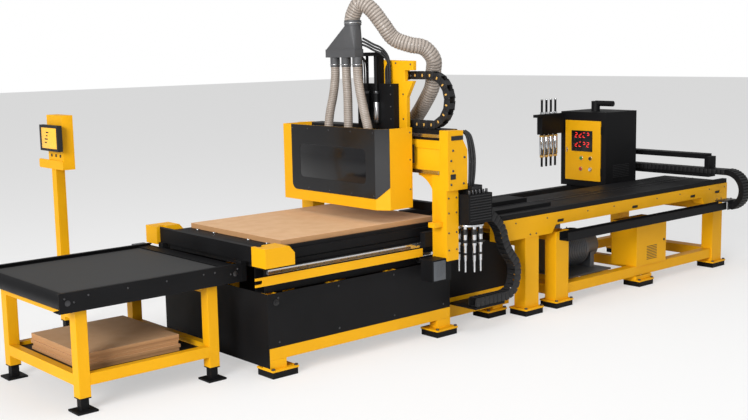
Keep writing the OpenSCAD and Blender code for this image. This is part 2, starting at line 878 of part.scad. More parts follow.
module unload_belt() color("#26282a") slab_xz(un_y0 + belt_in, un_y1 - belt_in + 1) difference() {
    belt_outline(roller_r + run_gap + belt_t);
    belt_outline(roller_r + run_gap);
}

module roller(x) color("silver") {
    bar_y(x, belt_z, roller_r, un_y0 + un_web + 4, un_y1 - un_web - 4);
    bar_y(x, belt_z, roller_shaft_r, un_y0 + 1, un_y1 - 1);
}

module unload_drive_roller() {
    roller(drive_roller_x);
    color("silver") bar_y(drive_roller_x, belt_z, roller_shaft_r, un_y1 - 2, un_y1 + 60);
}

module unload_tail_roller() roller(tail_roller_x);

module unload_gearmotor() color("#3a3f44") {
    difference() {
        block([drive_roller_x - 70, un_y1, belt_z - 59], [drive_roller_x + 40, un_y1 + 90, belt_z + 61]);
        bar_y(drive_roller_x, belt_z, roller_shaft_r + fit_gap, un_y1 - 1, un_y1 + 70);
    }
    bar_x(un_y1 + 50, belt_z, 48, drive_roller_x - 300, drive_roller_x - 70);
}

// ---- operator pedestal with its tilting screen ----

module pedestal() color("gold") {
    block([ped_x - ped_post / 2, ped_y - ped_post / 2, un_foot_h],
        [ped_x + ped_post / 2, ped_y + ped_post / 2, ped_box_z0]);
    block([ped_box_x0, ped_box_y0, ped_box_z0], [ped_box_x1, ped_box_y1, ped_box_z1]);
    slab_yz(ped_box_x0 - 10, ped_box_x0)
        round_rect([ped_box_y0, ped_box_z0], [plate_y1, ped_box_z0 + plate_h], 16);
    difference() {
        for (y = ear_ys) {
            block([screen_axis_x, y, screen_axis_z - ear_r], [ped_box_x0, y + ear_t, screen_axis_z + ear_r]);
            bar_y(screen_axis_x, screen_axis_z, ear_r, y, y + ear_t);
        }
        bar_y(screen_axis_x, screen_axis_z, ear_pin_r + fit_gap, ear_ys[0] - 10, ear_ys[1] + ear_t + 10);
    }
}

module screen_housing() color("#111111") {
    back = screen_axis_x - screen_back;
    block([back - screen_t, screen_y0, screen_z0], [back, screen_y1, screen_z1]);
    block([back, ear_ys[0] + ear_t + 1, screen_axis_z - 8], [screen_axis_x, ear_ys[1] - 1, screen_axis_z + 8]);
    bar_y(screen_axis_x, screen_axis_z, ear_pin_r, ear_ys[0], ear_ys[1] + ear_t);
}

// ---- loading table ----

module load_beam_outline(d) polygon([
    [ld_x0 + d, ld_deep_z + d], [ld_x0 + ld_deep_left - d / 2, ld_deep_z + d],
    [ld_x0 + ld_deep_left + ld_step - d / 2, ld_high_z + d],
    [ld_x1 - ld_deep_right - ld_step + d / 2, ld_high_z + d], [ld_x1 - ld_deep_right + d / 2, ld_deep_z + d],
    [ld_x1 - d, ld_deep_z + d], [ld_x1 - d, load_top - d], [ld_x0 + d, load_top - d]]);

module slot_outline(x) {
    translate([x - ld_slot_len / 2, ld_slot_z - ld_slot_r]) square([ld_slot_len, 2 * ld_slot_r]);
    for (s = [-1, 1]) translate([x + s * ld_slot_len / 2, ld_slot_z]) circle(r = ld_slot_r);
}

module load_beams() color("gold") {
    difference() {
        slab_xz(ld_y0, ld_y0 + ld_beam_w) load_beam_outline(0);
        slab_xz(ld_y0 + tube_wall, ld_y0 + ld_beam_w - tube_wall) load_beam_outline(tube_wall);
        slab_xz(ld_y0 - 1, ld_y0 + tube_wall + 1) for (s = ld_slots) slot_outline(ld_x0 + s);
    }
    tube([far_beam_x0, ld_y1 - far_beam_w, ld_deep_z], [ld_x1, ld_y1, load_top], 0);
    for (x = bearer_xs) tube([x, low_y + low_w, low_z], [x + bearer_w, leg_rear_y0 + 15, low_z + low_h], 1);
}

module load_deck() color("#1f1f1f") {
    block([ld_x0 + 23, ld_y0 + 7, load_top], [ld_x1, ld_y1, deck_top]);
    block([ld_x0 + 23, ld_y0 + 7, deck_top], [ld_x1, ld_y0 + 7 + deck_rail_w, deck_top + deck_rail_h]);
    block([strip_x0, 470, deck_top], [strip_x0 + 1050, 700, deck_top + 40]);
    block([strip_x0, 130, deck_top], [strip_x0 + 990, 260, deck_top + 35]);
    for (y = track_ys)
        tube([far_beam_x0, y, ld_deep_z], [ld_x1, y + track_w, track_top], 0);
}

module electrical_box() color("gold") difference() {
    block([box_x0, leg_near_y0, low_z + low_h], [box_x1, box_y1, box_top]);
    block([box_x0 + sheet, leg_near_y0 + sheet, low_z + low_h + sheet],
        [box_x1 - sheet, box_y1 + 1, box_top - sheet]);
}

module vacuum_pump() color("#17181a") {
    base = low_z + low_h;
    block([pump_x0, 60, base], [pump_x1, 600, base + 15]);
    for (x = [pump_x0 + 60, pump_x1 - 120])
        block([x, pump_y - 130, base + 15], [x + 60, pump_y + 130, pump_z - 60]);
    bar_x(pump_y, pump_z, pump_r, pump_x0, pump_x1 - 200);
    bar_x(pump_y, pump_z, pump_r - 45, pump_x1 - 200, pump_x1);
    bar_z(pump_x0 + 150, pump_y, 50, pump_z, pump_z + pump_r + 70);
}

// ---- gantry ----

module gantry_beam() color("gold") {
    tube([beam_x0, end_y1, beam_z], [beam_x1, beam_y1, beam_top], 1, beam_wall);
    block([beam_x0 - beam_lip_d, end_y1, beam_top - beam_lip_h], [beam_x0, beam_y1, beam_top]);
}

module end_outline() polygon([
    [gantry_x - 1, end_z0], [gantry_x - 1, cover_top], [gantry_x + 172, cover_top - 5],
    [gantry_x + 172, beam_top - 3], [beam_x1 + 14, beam_top - 78], [beam_x1 + 14, end_z0]]);

module gusset_outline() difference() {
    polygon([[upright_y1, gusset_z0], [upright_y1, beam_z], [gusset_y1, beam_z], [gusset_y1, beam_z - 25]]);
    translate([gusset_y1 + 40, gusset_z0 - 30]) circle(r = gusset_r);
}

module gantry_uprights() color("gold") {
    both_sides() {
        slab_xz(end_y0, end_y1) end_outline();
        block([gantry_x, upright_y0, upright_z0], [gantry_x + upright_w, upright_y1, beam_z]);
        slab_yz(gusset_x0, gusset_x1) gusset_outline();
    }
    block([gantry_x - 96, upright_y0 + 43, 950], [gantry_x, upright_y0 + 113, 990]);
}

module beam_cover() color("#151515") block([beam_x0, end_y1, beam_top], [beam_x1, beam_y1, cover_top]);

module y_rails() color("silver") for (z = [y_rail_low, y_rail_high])
    block([beam_x0 - y_rail_t, end_y1, z], [beam_x0, beam_y1, z + y_rail_h]);

module x_drive() {
    difference() {
        block([saddle_x0, saddle_y0, rail_z - saddle_lap],
            [saddle_x0 + saddle_len, saddle_y1, rail_z + rail_h + saddle_lap]);
        block([saddle_x0 - 1, rail_y - run_gap, rail_z - run_gap],
            [saddle_x0 + saddle_len + 1, saddle_y1 + 1, rail_z + rail_h + run_gap]);
    }
    block([arm_x0, upright_y1, arm_z0], [arm_x1, saddle_y0, arm_z1]);
    difference() {
        union() {
            block([gear_x0, gear_y0, gear_z0], [gantry_x, gear_y1, gear_z0 + 180]);
            block([gantry_x - 1, gear_y0, gear_z0], [gear_x1, gear_y1, upright_z0]);
        }
        bar_y(pinion_x, pinion_z, pinion_shaft_r + fit_gap, gear_y1 - 41, gear_y1 + 1);
    }
}

module gantry_drives() color("#181818") {
    both_sides() x_drive();
    difference() {
        block([mag_x - 130, mag_y - 120, mag_house_z0], [mag_x + 145, mag_y + 115, mag_house_z1]);
        bar_z(mag_x, mag_y, mag_shaft_r + fit_gap, mag_house_z0 - 1, mag_house_z0 + mag_socket);
    }
    block([mag_x - 60, mag_y - 80, mag_house_z1], [mag_x + 70, mag_y + 70, mag_house_z1 + 65]);
    block([gantry_x + upright_w, mag_y - 20, mag_house_z0], [mag_x - 130, upright_y1 - 10, mag_house_z1]);
    block([mag_x + 145, x_chain_y0, mag_house_z0], [mag_x + 200, x_chain_y0 + chain_w, mag_house_z0 + 90]);
    for (y = pusher_rods) difference() {
        block([beam_x1, y - 30, rod_guide_z], [pusher_x0 + pusher_w, y + 30, rod_guide_z + rod_guide_h]);
        bar_z(pusher_x0 + pusher_w / 2, y, rod_r + fit_gap, rod_guide_z - 1, rod_guide_z + rod_guide_h + 1);
    }
}

module x_pinions() color("dimgray") both_sides() {
    bar_y(pinion_x, pinion_z, pinion_shaft_r, gear_y1 - 40, side_beam_y - 2);
    difference() {
        bar_y(pinion_x, pinion_z, pinion_r, side_beam_y - 1 - pinion_w, side_beam_y - 1);
        for (i = [0:pinion_teeth - 1]) translate([pinion_x, 0, pinion_z]) rotate([0, i * 360 / pinion_teeth, 0])
            block([pinion_r - 5, side_beam_y - 2 - pinion_w, -2], [pinion_r + 5, side_beam_y, 2]);
    }
}

module magazine_carousel() color("silver") translate([mag_x, mag_y, 0]) {
    cylinder_z(mag_r, mag_disc_z, mag_disc_z + mag_disc_t);
    cylinder_z(mag_shaft_r, mag_disc_z + mag_disc_t - 1, mag_house_z0 + mag_socket - 10);
    for (i = [0:mag_count - 1]) rotate([0, 0, 360 * (i + 0.5) / mag_count]) translate([mag_ring_r, 0, 0]) {
        cylinder_z(holder_r, holder_z, mag_disc_z);
        cylinder_z(collet_r, collet_z, holder_z);
        cylinder_z(bit_r, bit_z, collet_z);
    }
}
module cylinder_z(r, z0, z1) translate([0, 0, z0]) cylinder(r = r, h = z1 - z0);

module pusher_bar() color("#161616") {
    block([pusher_x0, pusher_y0, pusher_z0], [pusher_x0 + pusher_w, pusher_y1, pusher_z0 + pusher_h]);
    for (y = pusher_rods) bar_z(pusher_x0 + pusher_w / 2, y, rod_r, pusher_z0 + pusher_h - 1, rod_top);
}

module dust_outlet() color("#2a2b2c") {
    difference() {
        union() {
            bar_z(port_x, port_y, port_r, port_z0, port_z1);
            bar_x(port_y, port_pipe_z, port_r, port_x, port_collar_x1);
            bar_x(port_y, port_pipe_z, hose_r, port_x, port_pipe_x1);
        }
        bar_z(port_x, port_y, hose_r - 5, port_z0 + 10, port_z1 + 1);
        bar_x(port_y, port_pipe_z, hose_r - 5, port_x, port_pipe_x1 + 1);
    }
    block([beam_x1, port_y - 40, port_z0 + 20], [port_x - port_r + 2, port_y + 40, port_z0 + 80]);
}

// ---- head on the gantry ----

module y_saddle(y, z) difference() {
    block([car_x1, y, z - 12], [car_x1 + 40, y + 120, z + y_rail_h + 12]);
    block([beam_x0 - y_rail_t - run_gap, y - 1, z - run_gap], [car_x1 + 41, y + 121, z + y_rail_h + run_gap]);
}

module head_carriage() color("#171717") {
    block([car_x0, car_y0, car_z0], [car_x1, car_y1, car_z1]);
    block([car_x0, hood_y0, wing_z0], [car_x1, hood_y1, wing_z1]);
    for (y = [car_y0 + 10, car_y1 - 130]) for (z = [y_rail_low, y_rail_high]) y_saddle(y, z);
    for (s = [-1, 1]) {
        y = head_y + s * z_rail_off - z_rail_w / 2;
        block([z_plate_x1 + run_gap, y, car_z0], [car_x0, y + z_rail_w, car_z1 - 40]);
    }
    block([z_box_x0, car_y0, car_z1], [car_x1, z_box_y1, z_box_top]);
    block([z_box_x0, car_y0, car_z1 - 20], [car_x0, z_box_y1, car_z1]);
    for (y = balance_y) {
        bar_z(balance_x, y, balance_r, car_z1 + 20, z_box_top - 60);
        bar_z(balance_x, y, balance_r - 10, z_box_top - 60, man_z0 + 10);
        block([balance_x, y - 18, car_z1 + 40], [z_box_x0, y + 18, car_z1 + 80]);
        block([balance_x, y - 18, z_box_top - 120], [z_box_x0, y + 18, z_box_top - 80]);
    }
    block([z_box_x0, 440, z_box_top], [car_x1, 500, man_z1 - 29]);
    block([man_x1, 440, man_z0 + 7], [z_box_x0, 500, man_z1 - 29]);
}

module head_column() color("gold") {
    slab_yz(car_x1, column_x1) polygon([
        [550, car_z1 - 15], [550, 2279], [95, 2268], [97, column_slot_z1], [column_slot_y, column_slot_z1],
        [column_slot_y, column_slot_z0], [98, column_slot_z0], [175, 1978], [178, car_z1 - 15]]);
    block([column_x1, y_chain_start, y_chain_top - 40],
        [y_chain_x0 + y_chain_w, y_chain_start + 42, y_chain_top + 40]);
}

module hood_outline(d) polygon([
    [hood_x1 + 1, hood_y0 + d], [hood_x0 + hood_cut_x + d / 2, hood_y0 + d],
    [hood_x0 + d, hood_y0 + hood_cut_y + d / 2], [hood_x0 + d, hood_y1 - d], [hood_x1 + 1, hood_y1 - d]]);

module hood_shell() color("gold") {
    translate([0, 0, hood_z0]) linear_extrude(hood_h) intersection() {
        difference() {
            hood_outline(0);
            hood_outline(sheet);
        }
        translate([hood_x0 - 10, hood_y0 - 10]) square([hood_d + 10, hood_w + 20]);
    }
    block([hood_x1 - sheet, hood_y0 + 1, wing_z0 - 30], [hood_x1, hood_y0 + hood_lap, wing_z1 + 30]);
    block([hood_x1 - sheet, hood_y1 - hood_lap, wing_z0 - 30], [hood_x1, hood_y1 - 1, wing_z1 + 30]);
}

front_y0 = hood_y0 + hood_cut_y;
front_y1 = hood_y1 - hood_strip_w;
module hood_front_outline() difference() {
    translate([front_y0, hood_panel_z0]) square([front_y1 - front_y0, hood_panel_z1 - hood_panel_z0]);
    difference() {
        translate([front_y1 - hood_panel_r, hood_panel_z0 - 1]) square([hood_panel_r + 1, hood_panel_r + 1]);
        translate([front_y1 - hood_panel_r, hood_panel_z0 + hood_panel_r]) circle(r = hood_panel_r);
    }
    round_rect([window_y0, window_z0], [window_y1, window_z1], window_r);
}

module hood_front() color("#0d0d0d") {
    slab_yz(hood_x0 - hood_panel_t, hood_x0) hood_front_outline();
    difference() {
        translate([0, 0, hood_panel_z0]) linear_extrude(hood_panel_z1 - hood_panel_z0) polygon([
            [hood_x0, front_y0], [hood_x0 + hood_cut_x, hood_y0],
            [hood_x0 + hood_cut_x - hood_panel_t, hood_y0 - hood_panel_t / 2], [hood_x0 - hood_panel_t, front_y0]]);
        slab_xz(hood_y0 - hood_cut_y, front_y0) polygon([
            [hood_x0, hood_panel_z0 - 1], [hood_x0, hood_panel_z0],
            [hood_x0 + hood_cut_x + 1, hood_panel_side_z0], [hood_x0 + hood_cut_x + 1, hood_panel_z0 - 1]]);
    }
}

module dust_manifold() color("#5a5c5e") {
    block([man_x0, man_y0, man_z0], [man_x1, man_y1, man_z1]);
    hull() {
        block([man_x0 + 4, man_y0 + 6, man_z1 - 1], [man_x1 - 4, man_y1 - 6, man_z1]);
        translate([collar_x, collar_y, collar_z0 - 2]) cylinder(r = collar_r - 6, h = 2, $fn = 32);
    }
    bar_z(collar_x, collar_y, collar_r, collar_z0 - 1, collar_z1);
    for (y = spigot_y) bar_z(spigot_x, y, spigot_r, spigot_z0, man_z0 + 1);
}

module z_plate() color("#3c3f42") {
    block([z_plate_x0, car_y0, z_plate_z0], [z_plate_x1, car_y1, z_plate_z1]);
    for (i = [-1:1]) for (z = [1340, 1540])
        block([spindle_x + spindle_r - 4, head_y + i * spindle_pitch - 75, z],
            [z_plate_x0, head_y + i * spindle_pitch + 75, z + 60]);
}

module spindle_housings() color("#8f9296") for (i = [-1:1]) translate([0, head_y + i * spindle_pitch, 0]) {
    difference() {
        bar_z(spindle_x, 0, spindle_r, spindle_z0, spindle_z1);
        bar_z(spindle_x, 0, shaft_r + fit_gap, spindle_z0 - 1, shaft_z1 + 10);
        for (z = [1340, 1540]) block([spindle_x + spindle_r - 4, -75, z], [spindle_x + 100, 75, z + 60]);
    }
    difference() {
        union() {
            bar_z(pipe_x, 0, pipe_r, pipe_z0, pipe_z1);
            block([pipe_x, -15, 1360], [spindle_x - spindle_r + 12, 15, 1600]);
        }
        bar_z(pipe_x, 0, pipe_r - 5, pipe_z0 - 1, pipe_z1 + 1);
        bar_z(spindle_x, 0, spindle_r - 1, spindle_z0 - 1, spindle_z1 + 1);
    }
}

module spindle(i) color("#b9bcc0") difference() {
    union() {
        bar_z(spindle_x, head_y + i * spindle_pitch, shaft_r, collet_nut_z + 29, shaft_z1);
        bar_z(spindle_x, head_y + i * spindle_pitch, collet_nut_r, collet_nut_z, collet_nut_z + 30);
        bar_z(spindle_x, head_y + i * spindle_pitch, nose_r, nose_z, collet_nut_z + 1);
    }
    bar_z(spindle_x, head_y + i * spindle_pitch, tool_r, nose_z - 1, nose_z + tool_depth);
}

// ---- chains and hoses ----

module x_cable_chain() color("#111111") slab_xz(x_chain_y0, x_chain_y0 + chain_w) band(x_chain_path, chain_t);

y_chain_low = y_chain_z0 + y_chain_t / 2;
y_chain_mid = (y_chain_low + y_chain_top) / 2;
y_chain_r = (y_chain_top - y_chain_low) / 2;
y_chain_points = concat([[y_chain_low_end, y_chain_low]],
    [for (a = [270:-15:90]) [y_chain_bend + y_chain_r * cos(a), y_chain_mid + y_chain_r * sin(a)]],
    [[y_chain_start - run_gap, y_chain_top]]);
module y_cable_chain() color("#111111") slab_yz(y_chain_x0, y_chain_x0 + y_chain_w) band(y_chain_points, y_chain_t);

module main_hose() color("#b8ada0") swept_tube(main_route, hose_r, 12, 2, [0, 0, 1], [0, 0, -1]);

module spindle_hoses() color("#b8ada0") for (route = hose_routes)
    swept_tube(route, small_hose_r, 10, 2, [0, 0, -1], [0, 0, -1]);

// ---- control cabinet ----

module cabinet_shell() color("#131313") {
    difference() {
        block([cab_x0, cab_y0, cab_z0], [cab_x1, cab_y1, cab_z1]);
        block([cab_x0 + sheet, cab_y0 + sheet, cab_z0 + sheet], [cab_x1 - sheet, cab_y1 - sheet, cab_z1 - sheet]);
        block([cab_x0 - 1, door_y0 + door_lap, door_z0 + door_lap],
            [cab_x0 + sheet + 1, door_y1 - door_lap, door_z1 - door_lap]);
    }
    for (x = [cab_x0 + 10, cab_x1 - 10 - cab_shoe]) for (y = track_ys)
        block([x, y + 10, track_top + run_gap], [x + cab_shoe, y + 10 + cab_shoe, cab_z0]);
    for (z = [door_z0 + 60, door_z1 - 140]) {
        bar_z(pin_x, pin_y, pin_r, z, z + barrel_h);
        block([pin_x, pin_y - pin_r, z], [cab_x0, pin_y, z + barrel_h]);
    }
    bar_z(snorkel_x, snorkel_y, snorkel_r, cab_z1, 1764);
    bar_y(snorkel_x, 1740, 30, 797, snorkel_y);
    block([bank_x1 + run_gap, cab_y1 - 55, bank_z0], [cab_x0, cab_y1, bank_z1]);
}

module cabinet_door() color("gold") difference() {
    block([door_x, door_y0, door_z0], [door_x + door_t, door_y1, door_z1]);
    for (i = [0:3]) bar_x(button_ys[i], button_zs[i], stem_r + run_gap, door_x - 1, door_x + door_t + 1);
}

module button(i, c) color(c) {
    x1 = door_x - button_travel - run_gap;
    bar_x(button_ys[i], button_zs[i], button_r, x1 - cap_h, x1);
    bar_x(button_ys[i], button_zs[i], stem_r, x1, x1 + stem_len);
}
module button_start() button(0, "#202020");
module button_hold() button(1, "#3a3a3a");
module button_stop() button(2, "#b01818");
module button_reset() button(3, "#9a9a9a");

module loop_outline() intersection() {
    translate([loop_y, loop_z]) difference() {
        circle(r = loop_r);
        circle(r = loop_r - loop_t);
    }
    translate([loop_y, loop_z]) polygon([[0, 0], [0, 2 * loop_r], [-2 * loop_r, 2 * loop_r],
        [-2 * loop_r, -2 * loop_r], [2 * loop_r * cos(loop_end), 2 * loop_r * sin(loop_end)]]);
}

module cabinet_arms() color("#141414") {
    block([cab_x1, link_y0, link_z0], [arms_x0, link_y1, link_z1]);
    block([arms_x0, arms_y0, link_z1 - 50], [arms_x1, link_y1, link_z1]);
    block([arms_x0, 0, run_z1], [arms_x1, arms_y0, link_z1 - 25]);
    block([arms_x0, link_y0, run_z1], [arms_x1, link_y1, link_z1 - 50]);
    block([arms_x0, loop_y, run_z0], [arms_x1, link_y1 - 4, run_z1]);
    block([arms_x0 + 5, 0, link_z0], [arms_x1 - 5, link_y1, run_z0]);
    slab_yz(arms_x0, arms_x1) loop_outline();
}

bank_step = (bank_x1 - bank_x0) / bank_count;
module drill_block() color("#1b1b1b") {
    block([bank_x0, bank_y0, bank_z0], [bank_x1, bank_y1, bank_z1]);
    block([bank_x0 - 64, bank_y0, bank_z1 - 30], [bank_x0, bank_y1, bank_z1]);
    for (i = [0:bank_count - 1]) translate([bank_x0 + bank_step * (i + 0.5), (bank_y0 + bank_y1) / 2, 0]) {
        cylinder_z(bank_bit_r, bank_z1, bank_bit_z);
        cylinder_z(quill_r, quill_z + 120, bank_z0);
        cylinder_z(quill_r - 8, quill_z, quill_z + 120);
    }
}

// ---- one line per node ----

placed() base_long_rails();
placed() base_inner_frame();
placed() base_panels();
placed() foot_plates();
placed() floor_feet();
placed() anchor_bolts();
placed() bed_beams();
placed() x_guideways();
placed() bed_table();
placed() spoilboard();
placed() end_barrier();
placed() side_guards();
placed() chain_trays();
placed() table_legs();
placed() table_rails();
placed() unload_plates();
placed() board_stack();
placed() unload_side_rails();
placed() unload_end_covers();
placed() unload_belt();
placed() unload_gearmotor();
placed() pedestal();
placed() load_beams();
placed() load_deck();
placed() electrical_box();
placed() vacuum_pump();
placed() unload_drive_roller();
placed() unload_tail_roller();
placed() screen_housing();
placed() gantry_beam();
placed() gantry_uprights();
placed() beam_cover();
placed() y_rails();
placed() gantry_drives();
placed() x_pinions();
placed() magazine_carousel();
placed() pusher_bar();
placed() dust_outlet();
placed() head_carriage();
placed() head_column();
placed() hood_shell();
placed() hood_front();
placed() dust_manifold();
placed() z_plate();
placed() spindle_housings();
placed() spindle(-1);  // spindle_near
placed() spindle(0);  // spindle_middle
placed() spindle(1);  // spindle_far
placed() x_cable_chain();
placed() y_cable_chain();
placed() main_hose();
placed() spindle_hoses();
placed() cabinet_shell();
placed() cabinet_door();
placed() cabinet_arms();
placed() drill_block();
placed() button_start();
placed() button_hold();
placed() button_stop();
placed() button_reset();
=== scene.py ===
"""Looks of the nesting router line: finishes, soft edges, hoses, cable chains and small fittings."""
import json
import logging
import math
from dataclasses import dataclass
from enum import Enum

import bmesh
import bpy
from mathutils import Matrix, Vector


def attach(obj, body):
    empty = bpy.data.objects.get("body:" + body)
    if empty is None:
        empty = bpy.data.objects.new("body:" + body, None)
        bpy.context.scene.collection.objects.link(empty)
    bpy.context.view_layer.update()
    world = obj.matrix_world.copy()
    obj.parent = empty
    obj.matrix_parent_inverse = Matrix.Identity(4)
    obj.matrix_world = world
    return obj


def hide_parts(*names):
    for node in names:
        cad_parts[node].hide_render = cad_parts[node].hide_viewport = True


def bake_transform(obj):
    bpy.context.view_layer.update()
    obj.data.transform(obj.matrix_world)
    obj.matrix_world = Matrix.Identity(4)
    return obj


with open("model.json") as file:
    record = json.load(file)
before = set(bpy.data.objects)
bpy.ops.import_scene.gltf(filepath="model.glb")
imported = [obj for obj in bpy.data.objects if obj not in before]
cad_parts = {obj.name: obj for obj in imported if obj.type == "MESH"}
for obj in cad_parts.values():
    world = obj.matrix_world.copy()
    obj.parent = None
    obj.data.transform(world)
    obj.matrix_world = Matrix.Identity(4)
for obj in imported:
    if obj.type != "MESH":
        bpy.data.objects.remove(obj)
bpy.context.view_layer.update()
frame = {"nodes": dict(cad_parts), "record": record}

LOG = logging.getLogger("router")
MM = 1000
CENTRE_X = 2242.5
CENTRE_Y = 1119.5
SHARP_ANGLE = math.radians(38)
BODY_OF: dict[str, str] = {
    node: body for body, nodes in frame["record"]["behaviour"]["bodies"].items() for node in nodes}
Point = tuple[float, float, float]
Points = tuple[Point, ...]


def spot(x: float, y: float, z: float) -> Vector:
    """Turns a place in the layout frame into the row frame.

    Args:
        x: Millimetres along the line from the bed's left end.
        y: Millimetres from the bed's near side.
        z: Millimetres above the floor.

    Returns:
        The place in metres.
    """
    return Vector(((x - CENTRE_X) / MM, (y - CENTRE_Y) / MM, z / MM))


class Axis(Enum):
    """Direction that a bar, prism or disc points in."""

    X = (1.0, 0.0, 0.0)
    Y = (0.0, 1.0, 0.0)
    Z = (0.0, 0.0, 1.0)

    @property
    def way(self) -> Vector:
        """The direction as a vector."""
        return Vector(self.value)


class Wires:
    """A shader node tree with short ways to add and join nodes."""

    def __init__(self, tree: bpy.types.NodeTree) -> None:
        """Takes the tree to work on.

        Args:
            tree: The node tree.
        """
        self.tree = tree

    def add(self, kind: str, values: dict[str | int, object] | None = None,
            **traits: object) -> bpy.types.Node:
        """Adds a node.

        Args:
            kind: Its type, without the words ShaderNode in front.
            values: Values of its inputs by name or number.
            traits: Settings of the node itself, such as operation.

        Returns:
            The new node.
        """
        made = self.tree.nodes.new("ShaderNode" + kind)
        for name, value in traits.items():
            setattr(made, name, value)
        for name, value in (values or {}).items():
            made.inputs[name].default_value = value
        return made

    def join(self, *pairs: tuple[bpy.types.Node, str | int, bpy.types.Node, str | int]) -> None:
        """Joins outputs to inputs.

        Args:
            pairs: A node, its output, another node and its input.
        """
        for source, output, target, entry in pairs:
            self.tree.links.new(source.outputs[output], target.inputs[entry])

    def blend(self, mask: bpy.types.NodeSocket, low: object, high: object) -> bpy.types.Node:
        """Mixes two colours by a mask.

        Args:
            mask: The output that drives the mix.
            low: Colour, or output that gives it, where the mask is 0.
            high: The same where the mask is 1.

        Returns:
            The mix node.
        """
        mix = self.add("Mix", data_type="RGBA")
        for name, value in (("Factor", mask), ("A", low), ("B", high)):
            if isinstance(value, bpy.types.NodeSocket):
                self.tree.links.new(value, mix.inputs[name])
            else:
                mix.inputs[name].default_value = (*value, 1)
        return mix


class NodeKit:
    """Node groups that several finishes use, each made once."""

    made: dict[str, bpy.types.NodeTree] = {}

    @classmethod
    def fresh(cls, name: str, inputs: dict[str, object], outputs: dict[str, str]) -> bpy.types.NodeTree:
        """Starts a shader node group with named sockets.

        Args:
            name: Name of the group.
            inputs: Default of each input: a number, a vector or a colour of four.
            outputs: Socket type of each output.

        Returns:
            The new group, with its two end nodes called start and end.
        """
        tree = cls.made[name] = bpy.data.node_groups.new(name, "ShaderNodeTree")
        for label, value in inputs.items():
            size = len(value) if isinstance(value, tuple) else 1
            kind = {1: "Float", 3: "Vector", 4: "Color"}[size]
            socket = tree.interface.new_socket(label, in_out="INPUT", socket_type="NodeSocket" + kind)
            socket.default_value = value
        for label, kind in outputs.items():
            tree.interface.new_socket(label, in_out="OUTPUT", socket_type="NodeSocket" + kind)
        tree.nodes.new("NodeGroupInput").name = "start"
        tree.nodes.new("NodeGroupOutput").name = "end"
        return tree

    @classmethod
    def surface(cls) -> bpy.types.NodeTree:
        """Gives the group for mottled colour, uneven gloss and fine relief."""
        if "surface_grain" in cls.made:
            return cls.made["surface_grain"]
        tree = cls.fresh(
            "surface_grain",
            {"Colour": (0.5, 0.5, 0.5, 1), "Tone": (0.4, 0.4, 0.4, 1), "Patch Scale": 4.0,
             "Grain Scale": 900.0,
             "Stretch": (1, 1, 1), "Gloss": 0.4, "Spread": 0.1, "Relief": 0.1},
            {"Colour": "Color", "Roughness": "Float", "Normal": "Vector"})
        wires, start, end = Wires(tree), tree.nodes["start"], tree.nodes["end"]
        where = wires.add("TexCoord")
        mapping = wires.add("Mapping")
        patch = wires.add("TexNoise", {"Detail": 6.0})
        fine = wires.add("TexNoise", {"Detail": 3.0})
        spread = wires.add("MapRange", {"From Min": 0.32, "From Max": 0.68})
        scaled = wires.add("Math", {1: 0.6}, operation="MULTIPLY")
        mottle = wires.add("Math", {1: 0.45}, operation="MULTIPLY_ADD")
        rough = wires.add("Math", operation="MULTIPLY_ADD")
        bump = wires.add("Bump", {"Distance": 0.0008})
        mix = wires.blend(mottle.outputs[0], start.outputs["Colour"], start.outputs["Tone"])
        wires.join((where, "Object", mapping, "Vector"), (start, "Stretch", mapping, "Scale"),
                   (where, "Object", patch, "Vector"), (start, "Patch Scale", patch, "Scale"),
                   (mapping, "Vector", fine, "Vector"), (start, "Grain Scale", fine, "Scale"),
                   (patch, "Fac", spread, "Value"), (spread, "Result", scaled, 0),
                   (fine, "Fac", mottle, 0), (scaled, 0, mottle, 2), (mix, "Result", end, "Colour"),
                   (mottle, 0, rough, 0), (start, "Spread", rough, 1), (start, "Gloss", rough, 2),
                   (rough, 0, end, "Roughness"), (fine, "Fac", bump, "Height"),
                   (start, "Relief", bump, "Strength"), (bump, "Normal", end, "Normal"))
        return tree

    @classmethod
    def edges(cls) -> bpy.types.NodeTree:
        """Gives the group that finds worn edges; its Mask is 1 where they are rubbed."""
        if "edge_wear" in cls.made:
            return cls.made["edge_wear"]
        tree = cls.fresh("edge_wear", {"Radius": 0.003, "Amount": 1.0}, {"Mask": "Float"})
        wires, start, end = Wires(tree), tree.nodes["start"], tree.nodes["end"]
        bevel = wires.add("Bevel")
        true = wires.add("NewGeometry")
        dot = wires.add("VectorMath", operation="DOT_PRODUCT")
        bent = wires.add("MapRange", {"From Min": 0.995, "From Max": 0.80})
        where = wires.add("TexCoord")
        rub = wires.add("TexNoise", {"Scale": 14.0, "Detail": 8.0})
        cut = wires.add("MapRange", {"From Min": 0.48, "From Max": 0.62})
        both = wires.add("Math", operation="MULTIPLY")
        much = wires.add("Math", operation="MULTIPLY", use_clamp=True)
        wires.join((start, "Radius", bevel, "Radius"), (bevel, "Normal", dot, 0), (true, "Normal", dot, 1),
                   (dot, "Value", bent, "Value"), (where, "Object", rub, "Vector"),
                   (rub, "Fac", cut, "Value"),
                   (bent, "Result", both, 0), (cut, "Result", both, 1), (both, 0, much, 0),
                   (start, "Amount", much, 1), (much, 0, end, "Mask"))
        return tree


